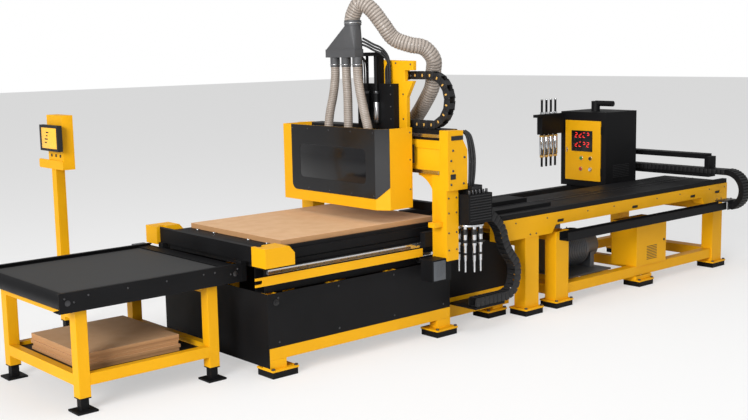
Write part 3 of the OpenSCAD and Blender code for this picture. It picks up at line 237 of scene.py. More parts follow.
@dataclass(frozen=True)
class Finish:
    """A painted, metal or plastic surface."""

    name: str
    colour: Point
    tone: Point
    gloss: float = 0.35
    spread: float = 0.12
    metallic: float = 0.0
    patch: float = 3.0
    grain: float = 700.0
    stretch: Point = (1.0, 1.0, 1.0)
    relief: float = 0.08
    coat: float = 0.0
    wear: float = 0.0
    worn: Point = (0.5, 0.5, 0.5)
    specular: float = 0.5

    def material(self) -> bpy.types.Material:
        """Gives the material, made the first time it is asked for."""
        known = bpy.data.materials.get(self.name)
        if known is not None:
            return known
        made = bpy.data.materials.new(self.name)
        made.use_nodes = True
        shader = made.node_tree.nodes["Principled BSDF"]
        wires = Wires(made.node_tree)
        surface = wires.add("Group", node_tree=NodeKit.surface())
        for label, value in (("Colour", (*self.colour, 1)), ("Tone", (*self.tone, 1)),
                             ("Patch Scale", self.patch),
                             ("Grain Scale", self.grain), ("Stretch", self.stretch), ("Gloss", self.gloss),
                             ("Spread", self.spread), ("Relief", self.relief)):
            surface.inputs[label].default_value = value
        for label, value in (("Metallic", self.metallic), ("Coat Weight", self.coat),
                             ("Coat Roughness", 0.15),
                             ("Specular IOR Level", self.specular)):
            shader.inputs[label].default_value = value
        wires.join((surface, "Roughness", shader, "Roughness"), (surface, "Normal", shader, "Normal"),
                   (surface, "Colour", shader, "Base Color"))
        self.detail(wires, surface, shader)
        return made

    def detail(self, wires: Wires, surface: bpy.types.Node, shader: bpy.types.Node) -> None:
        """Adds rubbed edges, where the finish has them.

        Args:
            wires: The material's node tree.
            surface: Its surface group.
            shader: Its Principled BSDF.
        """
        if self.wear:
            rubbed = wires.add("Group", node_tree=NodeKit.edges())
            rubbed.inputs["Amount"].default_value = self.wear
            mix = wires.blend(rubbed.outputs["Mask"], surface.outputs["Colour"], self.worn)
            wires.join((mix, "Result", shader, "Base Color"))


@dataclass(frozen=True)
class BoardFinish(Finish):
    """Pressed fibreboard: smooth pale faces, and a darker colour on the faces that don't point up, partly the
    darker cut edges and partly painted shade.
    """

    # Colour of the faces that don't point up: partly the cut edges' own colour, partly painted shade.
    edge: Point = (0.50, 0.27, 0.12)

    def detail(self, wires: Wires, surface: bpy.types.Node, shader: bpy.types.Node) -> None:
        """Darkens the faces that don't point up: partly the board's darker cut edges, partly painted shade on
        the sides that get less light than the top.

        Args:
            wires: The material's node tree.
            surface: Its surface group.
            shader: Its Principled BSDF.
        """
        # Painted shade, partly cut-edge colour: the less a face points up, the more it takes the darker
        # colour.
        facing = wires.add("NewGeometry")
        split = wires.add("SeparateXYZ")
        side = wires.add("MapRange", {"From Min": 0.7, "From Max": 0.2})
        mix = wires.blend(side.outputs["Result"], surface.outputs["Colour"], self.edge)
        wires.join((facing, "Normal", split, "Vector"), (split, "Z", side, "Value"),
                   (mix, "Result", shader, "Base Color"))


@dataclass(frozen=True)
class BeltFinish(Finish):
    """Rubber with a moulded pattern of small cells."""

    cells: float = 130.0

    def detail(self, wires: Wires, surface: bpy.types.Node, shader: bpy.types.Node) -> None:
        """Adds the moulded cells as relief.

        Args:
            wires: The material's node tree.
            surface: Its surface group.
            shader: Its Principled BSDF.
        """
        where = wires.add("TexCoord")
        turn = wires.add("Mapping", {"Rotation": (0, 0, math.radians(45))})
        cells = wires.add("TexVoronoi", {"Scale": self.cells, "Randomness": 0.0})
        bump = wires.add("Bump", {"Strength": 0.5, "Distance": 0.0015})
        wires.join((where, "Object", turn, "Vector"), (turn, "Vector", cells, "Vector"),
                   (cells, "Distance", bump, "Height"), (surface, "Normal", bump, "Normal"),
                   (bump, "Normal", shader, "Normal"))


@dataclass(frozen=True)
class HoseFinish(Finish):
    """Thin ribbed film over a wire spiral, with painted shade between the ribs."""

    # Colour of the painted shade in the hollows between the ribs.
    valley_shade: Point = (0.16, 0.14, 0.12)

    def detail(self, wires: Wires, surface: bpy.types.Node, shader: bpy.types.Node) -> None:
        """Paints shade on the film between its ribs, led by the rib attribute.

        Args:
            wires: The material's node tree.
            surface: Its surface group.
            shader: Its Principled BSDF.
        """
        # The rib attribute is 1 on the crests and low in the hollows, where the painted shade goes.
        rib = wires.add("Attribute", attribute_name="rib")
        mix = wires.blend(rib.outputs["Fac"], self.valley_shade, surface.outputs["Colour"])
        wires.join((mix, "Result", shader, "Base Color"))


@dataclass(frozen=True)
class GlowFinish(Finish):
    """A lit mark on a display."""

    light: float = 1.5

    def detail(self, wires: Wires, surface: bpy.types.Node, shader: bpy.types.Node) -> None:
        """Lets the mark shine in its own colour.

        Args:
            wires: The material's node tree.
            surface: Its surface group.
            shader: Its Principled BSDF.
        """
        wires.join((surface, "Colour", shader, "Emission Color"))
        shader.inputs["Emission Strength"].default_value = self.light


YELLOW = Finish("yellow_powder_coat", (0.88, 0.440, 0.006), (0.80, 0.385, 0.005), gloss=0.34, spread=0.16,
                grain=520.0, relief=0.10, wear=0.30, worn=(0.95, 0.55, 0.06), specular=0.16)
BLACK = Finish("black_powder_coat", (0.005, 0.005, 0.0055), (0.010, 0.010, 0.011), gloss=0.38, spread=0.22,
               grain=480.0, relief=0.16, wear=0.35, worn=(0.055, 0.055, 0.055), specular=0.12)
GLOSS_BLACK = Finish("gloss_black_panel", (0.006, 0.006, 0.007), (0.010, 0.010, 0.011), gloss=0.10,
                     spread=0.10,
                     grain=400.0, relief=0.02, coat=0.2, specular=0.3)
DARK_METAL = Finish("dark_machined_steel", (0.10, 0.10, 0.105), (0.06, 0.06, 0.062), gloss=0.28, metallic=0.9,
                    grain=300.0, stretch=(1.0, 1.0, 6.0), relief=0.12, wear=0.5, worn=(0.45, 0.45, 0.46))
STEEL = Finish("ground_steel", (0.60, 0.61, 0.63), (0.45, 0.46, 0.48), gloss=0.18, metallic=1.0, grain=260.0,
               stretch=(0.06, 1.0, 3.0), relief=0.10, wear=0.2, worn=(0.8, 0.8, 0.8))
RAIL_Y = Finish("ground_cross_rail", (0.60, 0.61, 0.63), (0.42, 0.43, 0.45), gloss=0.18, metallic=1.0,
                grain=260.0, stretch=(1.0, 0.06, 3.0), relief=0.10)
ALLOY = Finish("satin_aluminium", (0.55, 0.56, 0.58), (0.44, 0.45, 0.47), gloss=0.32, metallic=1.0,
               grain=500.0,
               stretch=(1.0, 1.0, 0.1), relief=0.08)
MOTOR = Finish("motor_grey", (0.045, 0.048, 0.052), (0.07, 0.073, 0.078), gloss=0.40, grain=380.0,
               relief=0.15,
               wear=0.3, worn=(0.2, 0.2, 0.2))
PLASTIC = Finish("black_moulded_plastic", (0.011, 0.011, 0.012), (0.019, 0.019, 0.020), gloss=0.42,
                 spread=0.16,
                 grain=900.0, relief=0.18, specular=0.35)
BRASS = Finish("brass_pin", (0.72, 0.42, 0.10), (0.60, 0.34, 0.08), gloss=0.35)
SILVER = Finish("bright_sleeve", (0.62, 0.62, 0.63), (0.50, 0.50, 0.51), gloss=0.24, metallic=1.0,
                relief=0.05)
DUCT = Finish("dark_grey_duct", (0.055, 0.056, 0.060), (0.085, 0.086, 0.090), gloss=0.42, spread=0.16,
              grain=420.0, relief=0.16)
RED = Finish("red_button_cap", (0.62, 0.012, 0.010), (0.50, 0.010, 0.009), gloss=0.18, coat=0.4)
GREEN = Finish("green_button_cap", (0.02, 0.30, 0.06), (0.02, 0.24, 0.05), gloss=0.18, coat=0.4)
# Its faces that don't point up get a darker colour that is partly painted shade.
FIBREBOARD = BoardFinish("pressed_fibreboard", (0.72, 0.46, 0.26), (0.64, 0.38, 0.20), gloss=0.62, patch=9.0,
                         grain=1500.0, relief=0.25)
BELT = BeltFinish("belt_rubber", (0.022, 0.023, 0.025), (0.034, 0.035, 0.037), gloss=0.48, spread=0.2,
                  patch=2.0,
                  grain=260.0, relief=0.2, specular=0.3)
MAT = BeltFinish("deck_mat", (0.009, 0.009, 0.0097), (0.016, 0.016, 0.017), gloss=0.46, spread=0.22,
                 patch=2.5,
                 grain=300.0, relief=0.2, cells=90.0, specular=0.10)
# The hose's valley colour is painted shade between its ribs.
HOSE = HoseFinish("ribbed_hose_film", (0.46, 0.40, 0.35), (0.32, 0.27, 0.23), gloss=0.30, spread=0.2,
                  patch=14.0,
                  grain=500.0, relief=0.1, coat=0.2, valley_shade=(0.12, 0.10, 0.085))
LIT_RED = GlowFinish("red_digits", (0.9, 0.03, 0.02), (0.8, 0.02, 0.02), light=2.5)
SCREEN = GlowFinish("screen_face", (0.93, 0.50, 0.05), (0.85, 0.44, 0.04), gloss=0.15, light=0.25)


class Shaper:
    """A mesh that is filled shape by shape and then becomes one piece."""

    def __init__(self) -> None:
        """Starts with nothing."""
        self.bm = bmesh.new()

    def block(self, low: Point, high: Point, soft: float = 1.5) -> None:
        """Adds a block between two corners of the layout frame.

        Args:
            low: Lowest corner in millimetres.
            high: Highest corner in millimetres.
            soft: Width of its bevelled edges in millimetres.
        """
        a, b = spot(*low), spot(*high)
        place = Matrix.Translation((a + b) / 2) @ Matrix.Diagonal((*(b - a), 1.0))
        self.soften(bmesh.ops.create_cube(self.bm, size=1.0, matrix=place)["verts"], soft)

    def bar(self, centre: Point, radius: float, length: float, axis: Axis = Axis.Z, sides: int = 24,
            soft: float = 0.0, top: float | None = None, back: bool = False) -> None:
        """Adds a round or many-sided bar, or a cone, that starts at a point.

        Args:
            centre: Middle of its first end in millimetres.
            radius: Its radius in millimetres.
            length: Its length in millimetres.
            axis: Direction it points in.
            sides: Number of its flat sides.
            soft: Width of its bevelled end edges in millimetres.
            top: Radius of its other end, if that differs.
            back: True if it points the other way.
        """
        way = axis.way * (-1 if back else 1)
        place = Matrix.Translation(spot(*centre) + way * length / (2 * MM))
        place = place @ way.to_track_quat("Z", "Y").to_matrix().to_4x4()
        made = bmesh.ops.create_cone(self.bm, cap_ends=True, segments=sides, radius1=radius / MM,
                                     radius2=(radius if top is None else top) / MM, depth=length / MM,
                                     matrix=place)["verts"]
        self.soften(made, soft, ends_only=True)

    def dome(self, centre: Point, radius: float, height: float, axis: Axis = Axis.Y) -> None:
        """Adds a low round bolt head that stands out against its axis.

        Args:
            centre: Middle of its flat face in millimetres.
            radius: Its radius in millimetres.
            height: Its height in millimetres, less than 0 if it points along its axis.
            axis: Direction of its bolt.
        """
        self.bar(centre, radius, abs(height), axis, 12, abs(height) * 0.3, radius * 0.62, height > 0)

    def torus(self, centre: Point, radius: float, thick: float, axis: Axis = Axis.Z, sides: int = 32) -> None:
        """Adds a ring by spinning a small circle.

        Args:
            centre: Middle of the ring in millimetres.
            radius: Radius of its middle line in millimetres.
            thick: Radius of its section in millimetres.
            axis: Direction its hole points in.
            sides: Steps round the ring.
        """
        base = Matrix.Translation(spot(*centre)) @ axis.way.to_track_quat("Z", "Y").to_matrix().to_4x4()
        start = base @ Matrix.Translation((radius / MM, 0, 0)) @ Matrix.Rotation(math.pi / 2, 4, "X")
        ring = bmesh.ops.create_circle(self.bm, segments=10, radius=thick / MM, matrix=start)["verts"]
        bmesh.ops.spin(self.bm, geom=list(ring) + self.edges_of(ring), cent=spot(*centre), axis=axis.way,
                       angle=2 * math.pi, steps=sides, use_merge=True)

    @staticmethod
    def edges_of(verts: list[bmesh.types.BMVert]) -> list[bmesh.types.BMEdge]:
        """Gives the edges that meet at some vertices."""
        return list({edge for vert in verts for edge in vert.link_edges})

    def soften(self, verts: list[bmesh.types.BMVert], width: float, ends_only: bool = False) -> None:
        """Bevels the edges between some vertices.

        Args:
            verts: The vertices of the shape.
            width: Bevel width in millimetres.
            ends_only: True to bevel only edges at a sharp angle.
        """
        if width <= 0:
            return
        edges = self.edges_of(verts)
        if ends_only:
            edges = [edge for edge in edges if len(edge.link_faces) == 2 and edge.calc_face_angle(0.0) > 0.9]
        bmesh.ops.bevel(self.bm, geom=edges, offset=width / MM, offset_type="OFFSET", segments=2, profile=0.5,
                        affect="EDGES", material=-1, clamp_overlap=True)

    def piece(self, name: str, finish: Finish, body: str | None) -> bpy.types.Object:
        """Turns the mesh into a piece that rides on a body.

        Args:
            name: Name of the piece.
            finish: Its finish.
            body: Name of the body it rides on, or None to leave it on no body.

        Returns:
            The new object.
        """
        bmesh.ops.remove_doubles(self.bm, verts=self.bm.verts, dist=1e-6)
        bmesh.ops.recalc_face_normals(self.bm, faces=self.bm.faces)
        return Piece.place(name, self.bm, finish, body)


class Piece:
    """Ways to turn a mesh into a piece of the object."""

    @staticmethod
    def place(name: str, bm: bmesh.types.BMesh, finish: Finish, body: str | None) -> bpy.types.Object:
        """Makes an object of a mesh, with its finish and body.

        Args:
            name: Name of the piece.
            bm: Its mesh, already in place. It is freed.
            finish: Its finish.
            body: Name of its body, or None to leave it on no body.

        Returns:
            The new object.
        """
        mesh = bpy.data.meshes.new(name)
        bm.to_mesh(mesh)
        bm.free()
        mesh.materials.clear()
        mesh.materials.append(finish.material())
        mesh.shade_smooth()
        made = bpy.data.objects.new(name, mesh)
        bpy.context.scene.collection.objects.link(made)
        mesh.set_sharp_from_angle(angle=SHARP_ANGLE)
        if body is not None:
            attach(made, body)
        LOG.info("piece %s", name)
        return made

    @staticmethod
    def skin(finish: Finish, soft: float, *nodes: str) -> None:
        """Copies the meshes of CAD nodes, gives them soft edges, puts each on its node's body and hides the
        node.

        Args:
            finish: Their finish.
            soft: Width of the soft edges in millimetres.
            nodes: Names of the CAD nodes.
        """
        for node in nodes:
            bm = bmesh.new()
            bm.from_mesh(frame["nodes"][node].data)
            bmesh.ops.remove_doubles(bm, verts=bm.verts, dist=2e-6)
            bmesh.ops.dissolve_limit(bm, angle_limit=math.radians(0.4), verts=bm.verts, edges=bm.edges,
                                     use_dissolve_boundaries=False)
            made = Piece.place(node + "_skin", bm, finish, BODY_OF[node])
            if soft > 0:
                bevel = made.modifiers.new("soft_edges", "BEVEL")
                bevel.width = soft / MM
                bevel.segments = 2
                bevel.limit_method = "ANGLE"
                bevel.angle_limit = math.radians(40)
                bevel.use_clamp_overlap = True
                bevel.harden_normals = True
            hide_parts(node)


class Route:
    """A smooth line through some points."""

    def __init__(self, points: Points, steps: int = 12) -> None:
        """Works out the line.

        Args:
            points: Points in the layout frame, in millimetres.
            steps: Samples between each pair of points.
        """
        p = [spot(*q) for q in points]
        last = len(p) - 1
        self.line: list[Vector] = []
        for i in range(last):
            a, b, c, d = p[max(i - 1, 0)], p[i], p[i + 1], p[min(i + 2, last)]
            for s in range(steps):
                t = s / steps
                self.line.append(0.5 * (2 * b + (c - a) * t + (2 * a - 5 * b + 4 * c - d) * t * t
                                        + (3 * b - a - 3 * c + d) * t ** 3))
        self.line.append(p[last])
        self.sums = [0.0]
        for a, b in zip(self.line, self.line[1:]):
            self.sums.append(self.sums[-1] + (b - a).length)
        self.length = self.sums[-1]

    def at(self, run: float) -> tuple[Vector, Vector]:
        """Finds the place and heading at a distance along the line.

        Args:
            run: Distance from the start in metres.

        Returns:
            The place and the unit heading.
        """
        run = min(max(run, 0.0), self.length)
        last = len(self.sums) - 2
        i = next((k for k in range(last) if run <= self.sums[k + 1]), last)
        part = (run - self.sums[i]) / max(self.sums[i + 1] - self.sums[i], 1e-9)
        before, after = self.line[max(i - 1, 0)], self.line[min(i + 2, last + 1)]
        return self.line[i].lerp(self.line[i + 1], part), (after - before).normalized()


@dataclass
class RibbedHose:
    """A dust hose: ribbed film over a wire spiral."""

    name: str
    points: Points
    radius: float
    pitch: float
    depth: float
    sides: int
    waves: tuple[float, ...] = (0.15, 0.8, 1.0, 0.8)

    def build(self) -> bpy.types.Object:
        """Sweeps four rings for each rib along the route.

        Returns:
            The hose, not yet on a body.
        """
        route = Route(self.points)
        count = max(int(route.length * MM / self.pitch) * len(self.waves), 8)
        radii = [self.radius - self.depth * (1 - self.waves[i % 4]) for i in range(count + 1)]
        marks = [self.waves[i % 4] for i in range(count + 1)]
        return Piece.place(self.name, sweep(route, radii, self.sides, Axis.X.way, marks), HOSE, None)


@dataclass
class Cable:
    """A plain black cable or air line."""

    name: str
    points: Points
    radius: float
    ring_gap: float = 0.02

    def build(self, body: str) -> None:
        """Sweeps a small circle along the route.

        Args:
            body: Body it rides on.
        """
        route = Route(self.points, 8)
        count = max(int(route.length / self.ring_gap), 8)
        Piece.place(self.name, sweep(route, [self.radius] * (count + 1), 10, Axis.Y.way), PLASTIC, body)


def sweep(route: Route, radii: list[float], sides: int, side: Vector,
          marks: list[float] | None = None) -> bmesh.types.BMesh:
    """Bridges rings along a route into a closed tube.

    Args:
        route: The tube's middle line.
        radii: Radius of each ring in millimetres.
        sides: Sides of each ring.
        side: Rough direction of the first ring's first corner.
        marks: Value of the rib attribute at each ring. The end rings of such a tube lie level.

    Returns:
        The mesh.
    """
    bm = bmesh.new()
    layer = bm.verts.layers.float.new("rib") if marks else None
    last = len(radii) - 1
    previous: list[bmesh.types.BMEdge] = []
    for i, radius in enumerate(radii):
        place, heading = route.at(route.length * i / last)
        if marks and i in (0, last):
            heading = Vector((0, 0, 1 if heading.z > 0 else -1))
        side = (side - heading * side.dot(heading)).normalized()
        turn = Matrix((side, heading.cross(side), heading)).transposed().to_4x4()
        ring = bmesh.ops.create_circle(bm, cap_ends=False, segments=sides, radius=radius / MM,
                                       matrix=Matrix.Translation(place) @ turn)["verts"]
        edges = Shaper.edges_of(ring)
        if marks:
            for vert in ring:
                vert[layer] = marks[i]
        if previous:
            bmesh.ops.bridge_loops(bm, edges=previous + edges)
        if i in (0, last):
            bmesh.ops.contextual_create(bm, geom=edges)
        previous = edges
    bmesh.ops.recalc_face_normals(bm, faces=bm.faces)
    return bm


@dataclass
class LinkChain:
    """A cable chain of plastic links that share pins."""

    name: str
    points: Points
    thick: float
    wide: float
    across: Axis
    pitch: float
    parts: tuple[tuple[Point, Point], ...] = (
        ((-0.5, -1.0, -1.0), (0.40, -0.88, 1.0)), ((-0.5, 0.88, -1.0), (0.40, 1.0, 1.0)),
        ((-0.34, -0.88, 0.86), (0.20, 0.88, 0.97)), ((-0.34, -0.88, -0.97), (0.20, 0.88, -0.86)),
        ((0.30, -0.92, -0.80), (0.62, -0.84, 0.80)), ((0.30, 0.84, -0.80), (0.62, 0.92, 0.80)))

    def __post_init__(self) -> None:
        """Works out the route and the number of links."""
        self.route = Route(self.points, 6)
        self.count = max(round(self.route.length * MM / self.pitch), 2)
        self.step = self.route.length / self.count

    def build(self) -> bpy.types.Object:
        """Places link after link along the route; a part's corners count in half link sizes.

        Returns:
            The chain, not yet on a body.
        """
        shape = Shaper()
        way = self.across.way
        half, wide = self.thick / (2 * MM), self.wide / (2 * MM)
        unit = (self.step, wide, half)
        for i in range(self.count):
            place, heading = self.route.at(self.step * (i + 0.5))
            heading = (heading - way * heading.dot(way)).normalized()
            axes = Matrix((heading, way, way.cross(heading))).transposed().to_4x4()
            turn = Matrix.Translation(place) @ axes
            for low, high in self.parts:
                size = [(high[k] - low[k]) * unit[k] for k in range(3)]
                middle = [(high[k] + low[k]) / 2 * unit[k] for k in range(3)]
                local = Matrix.Translation(middle) @ Matrix.Diagonal((*size, 1.0))
                made = bmesh.ops.create_cube(shape.bm, size=1.0, matrix=turn @ local)["verts"]
                if abs(low[1]) == 1.0 or high[1] == 1.0:
                    shape.soften(made, 2.5)
            for sign in (-1, 1):
                pin = turn @ Matrix.Translation((-0.05 * self.step, sign * wide * 0.985, 0))
                bmesh.ops.create_cone(shape.bm, cap_ends=True, segments=12, radius1=half * 0.40,
                                      radius2=half * 0.34, depth=wide * 0.02 + 0.001,
                                      matrix=pin @ Matrix.Rotation(math.pi / 2, 4, "X"))
        return shape.piece(self.name, PLASTIC, None)

    def bright_pins(self) -> bpy.types.Object:
        """Adds an oval bright pin on the near side of each link.

        Returns:
            The pins, not yet on a body.
        """
        shape = Shaper()
        way = self.across.way
        for i in range(self.count):
            place, heading = self.route.at(self.route.length * (i + 0.45) / self.count)
            middle = place - way * (self.wide / (2 * MM) + 0.0022)
            axes = Matrix((heading, way, way.cross(heading))).transposed().to_4x4()
            turn = Matrix.Translation(middle) @ axes
            oval = turn @ Matrix.Rotation(math.pi / 2, 4, "X") @ Matrix.Diagonal((0.7, 1.25, 1.0, 1.0))
            bmesh.ops.create_cone(shape.bm, cap_ends=True, segments=14, radius1=0.010, radius2=0.010,
                                  depth=0.003,
                                  matrix=oval)
        return shape.piece(self.name + "_pins", BRASS, None)


@dataclass
class Bed:
    """The bed with its cabinet base, guide rails, table and board."""

    base_w: float = 1430.0
    rail_z: float = 786.0
    table_z: float = 948.4
    lock: tuple[float, float] = (70.0, 560.0)
    tooth_count: int = 150
    tooth_pitch: float = 12.1

    def build(self) -> None:
        """Dresses the base and adds its screws, turn lock and grooves."""
        Piece.skin(YELLOW, 3.0, "base_long_rails", "base_inner_frame", "foot_plates", "side_guards")
        Piece.skin(BLACK, 2.0, "base_panels", "bed_beams", "bed_table", "end_barrier", "floor_feet",
                   "chain_trays")
        Piece.skin(DARK_METAL, 1.5, "anchor_bolts")
        Piece.skin(STEEL, 1.5, "x_guideways")
        Piece.skin(FIBREBOARD, 1.5, "spoilboard")
        self.panel_fittings()
        self.rail_fittings()
        self.table_fittings()

    def panel_fittings(self) -> None:
        """Adds the panel's screws and its turn lock."""
        screws = Shaper()
        for x in (90, 660, 1230, 1780):
            for z in (262, 592):
                screws.bar((x, -3, z), 8, 5, Axis.Y, 16, 1)
        screws.piece("panel_screws", DARK_METAL, "frame")
        knob = Shaper()
        knob.bar((self.lock[0], -5, self.lock[1]), 24, 8, Axis.Y, 28, 2)
        knob.bar((self.lock[0], -22, self.lock[1]), 14, 20, Axis.Y, 20, 3)
        knob.piece("panel_turn_lock", PLASTIC, "frame")

    def rail_fittings(self) -> None:
        """Adds the rows of screws in the guide rails and the teeth of the near rack."""
        screws = Shaper()
        for x in range(60, 1840, 80):
            for y in (16.6, self.base_w - 18.6):
                screws.bar((x, y, self.rail_z), 5, 2, Axis.Y, 10, 0.4)
        screws.piece("rail_screws", DARK_METAL, "frame")
        teeth = Shaper()
        for i in range(self.tooth_count):
            x = 24 + i * self.tooth_pitch
            teeth.block((x, 19, 688.6), (x + 6, 39, 691), 0)
        teeth.piece("near_rack_teeth", DARK_METAL, "frame")

    def table_fittings(self) -> None:
        """Adds the shallow grooves on the table's rim and the locating pins."""
        lines = Shaper()
        for x in (60, 120, 160):
            lines.block((x, 110, self.table_z), (x + 3, 1320, self.table_z + 1), 0)
        lines.piece("table_grooves", PLASTIC, "frame")
        stops = Shaper()
        for y in (240, 480, 950, 1190):
            stops.bar((180, y, 949), 14, 10, Axis.Z, 24, 2)
        stops.piece("locating_pins", STEEL, "frame")


@dataclass
class UnloadTable:
    """The belt table with its shelf of boards."""

    motor: tuple[float, float] = (1551.0, 774.0)
    rail_y: float = 213.0
    high_z: float = 806.0
    low_z: float = 774.0

    def build(self) -> None:
        """Dresses both tables' legs and this table, and adds its motor fins and bolts."""
        Piece.skin(YELLOW, 3.0, "table_legs", "table_rails")
        Piece.skin(BLACK, 1.2, "unload_plates", "unload_side_rails", "unload_end_covers")
        Piece.skin(FIBREBOARD, 1.0, "board_stack")
        Piece.skin(BELT, 0.0, "unload_belt")
        Piece.skin(STEEL, 1.0, "unload_drive_roller", "unload_tail_roller")
        Piece.skin(MOTOR, 3.0, "unload_gearmotor")
        fins = Shaper()
        for x in range(-420, -205, 14):
            fins.bar((x, *self.motor), 52, 5, Axis.X, 24, 0.8)
        fins.piece("gearmotor_fins", MOTOR, "frame")
        bolts = Shaper()
        for x in (-1460, -1395, -1290, -1000, -700, -400, -305, -170, -110):
            bolts.dome((x, self.rail_y, self.low_z if x in (-1395, -170) else self.high_z), 8, 5)
        for x in (-1440, -130):
            bolts.bar((x, self.rail_y - 2, self.low_z), 20, 4, Axis.Y, 24, 1)
        bolts.piece("side_rail_bolts", DARK_METAL, "frame")


@dataclass
class Pedestal:
    """The operator's post with its tilting screen."""

    mark_widths: tuple[int, ...] = (46, 30, 58, 36)
    mark_gap: float = 28.0
    mark_shift: float = 12.0

    def build(self) -> None:
        """Dresses the post and adds the screen's face and the buttons."""
        Piece.skin(YELLOW, 4.0, "pedestal")
        Piece.skin(PLASTIC, 5.0, "screen_housing")
        face = Shaper()
        face.block((-522.2, 2172, 1597), (-519.5, 2440, 1768), 0.6)
        face.piece("screen_face", SCREEN, "screen")
        marks = Shaper()
        for i, wide in enumerate(self.mark_widths):
            y, z = 2330 + i * self.mark_shift, 1725 - i * self.mark_gap
            marks.block((-523.2, y - wide / 2, z), (-521.8, y + wide / 2, z + 10), 0)
        marks.piece("screen_marks", PLASTIC, "screen")
        keys = Shaper()
        for y in (2260, 2340, 2420):
            keys.bar((-453, y, 1530), 14, 10, Axis.X, 20, 2)
        keys.piece("post_buttons", PLASTIC, "frame")


@dataclass
class Gantry:
    """The gantry beam with uprights, drives, rails, magazine and pusher."""

    near_plate: float = -244.0
    far_plate: float = 1674.0
    drum: tuple[float, float] = (1890.0, -200.0)
    drum_r: float = 95.0
    drum_tools: int = 8

    def build(self) -> None:
        """Dresses the gantry and adds its fittings."""
        Piece.skin(YELLOW, 3.0, "gantry_beam")
        Piece.skin(YELLOW, 5.0, "gantry_uprights")
        Piece.skin(BLACK, 2.5, "beam_cover", "gantry_drives", "pusher_bar")
        Piece.skin(RAIL_Y, 1.2, "y_rails")
        Piece.skin(DARK_METAL, 0.6, "x_pinions")
        Piece.skin(STEEL, 1.2, "magazine_carousel")
        Piece.skin(DUCT, 1.5, "dust_outlet")
        self.end_fittings("near", self.near_plate, -1, -223, -215)
        self.end_fittings("far", self.far_plate, 1, 1653, 1645)
        self.magazine()
        clamps = Shaper()
        for z in (1512, 1690):
            clamps.torus((1890, 440, z), 69, 4)
        clamps.piece("outlet_clamps", STEEL, "gantry")

    def end_fittings(self, name: str, y: float, sign: int, leg_y: float, drive_y: float) -> None:
        """Adds bolt heads, slot bars and the drive cover at one end plate.

        Args:
            name: Which end it is.
            y: Face of the end plate in millimetres.
            sign: -1 at the near end and 1 at the far end.
            leg_y: Face of the upright in millimetres.
            drive_y: Face of the drive in millimetres.
        """
        bolts = Shaper()
        for x, z in ((1662, 1560), (1660, 1398), (1640, 1290), (1780, 1290), (1790, 1500), (1640, 1480)):
            bolts.dome((x, y, z), 11, -7 * sign)
        for x in (1630, 1716):
            for z in (1180, 1060, 900, 760):
                bolts.dome((x, leg_y, z), 9, -6 * sign)
        bolts.piece(name + "_end_bolts", DARK_METAL, "gantry")
        low, high = sorted((y - sign, y + 4 * sign))
        bar = Shaper()
        bar.block((1642, low, 1640), (1775, high, 1675), 2)
        bar.block((1632, low, 1330), (1690, high, 1372), 3)
        bar.piece(name + "_end_slot", PLASTIC, "gantry")
        low, high = sorted((drive_y - sign, drive_y + 5 * sign))
        cover = Shaper()
        cover.block((1462, low, 532), (1594, high, 688), 3)
        for z in range(560, 670, 14):
            cover.block((1480, low - 1.5, z), (1576, high + 1.5, z + 5), 1)
        cover.piece(name + "_drive_cover", MOTOR, "gantry")

    def magazine(self) -> None:
        """Adds the magazine's ribs, valves, tool grips and cables."""
        ribs = Shaper()
        for z in range(985, 1190, 22):
            ribs.block((1775, -324, z), (2020, -318, z + 9), 2)
        ribs.block((1835, -286, 1208), (1955, -278, 1258), 5)
        ribs.piece("magazine_ribs", PLASTIC, "gantry")
        valves = Shaper()
        for x in range(1785, 1986, 40):
            valves.bar((x, -300, 1200), 11, 34, Axis.Z, 16, 2)
        valves.piece("magazine_valves", DARK_METAL, "gantry")
        grips = Shaper()
        for i in range(self.drum_tools):
            turn = 2 * math.pi * (i + 0.5) / self.drum_tools
            x, y = self.drum[0] + self.drum_r * math.cos(turn), self.drum[1] + self.drum_r * math.sin(turn)
            for z, radius, length, sides, soft in ((800, 20, 26, 18, 3), (868, 21, 46, 18, 4),
                                                   (700, 14, 20, 6, 2)):
                grips.bar((x, y, z), radius, length, Axis.Z, sides, soft)
        grips.piece("tool_holder_grips", PLASTIC, "magazine")
        for i in range(3):
            x, y = 1846 + 22 * i, -240 - 6 * i
            points = ((x, -158, 1700), (x + 4, -216, 1660), (x + 8, y, 1520), (x + 6, y - 2, 1380),
                      (x + 6, -236, 1262))
            Cable(f"magazine_cable_{i + 1}", points, 10.0).build("gantry")


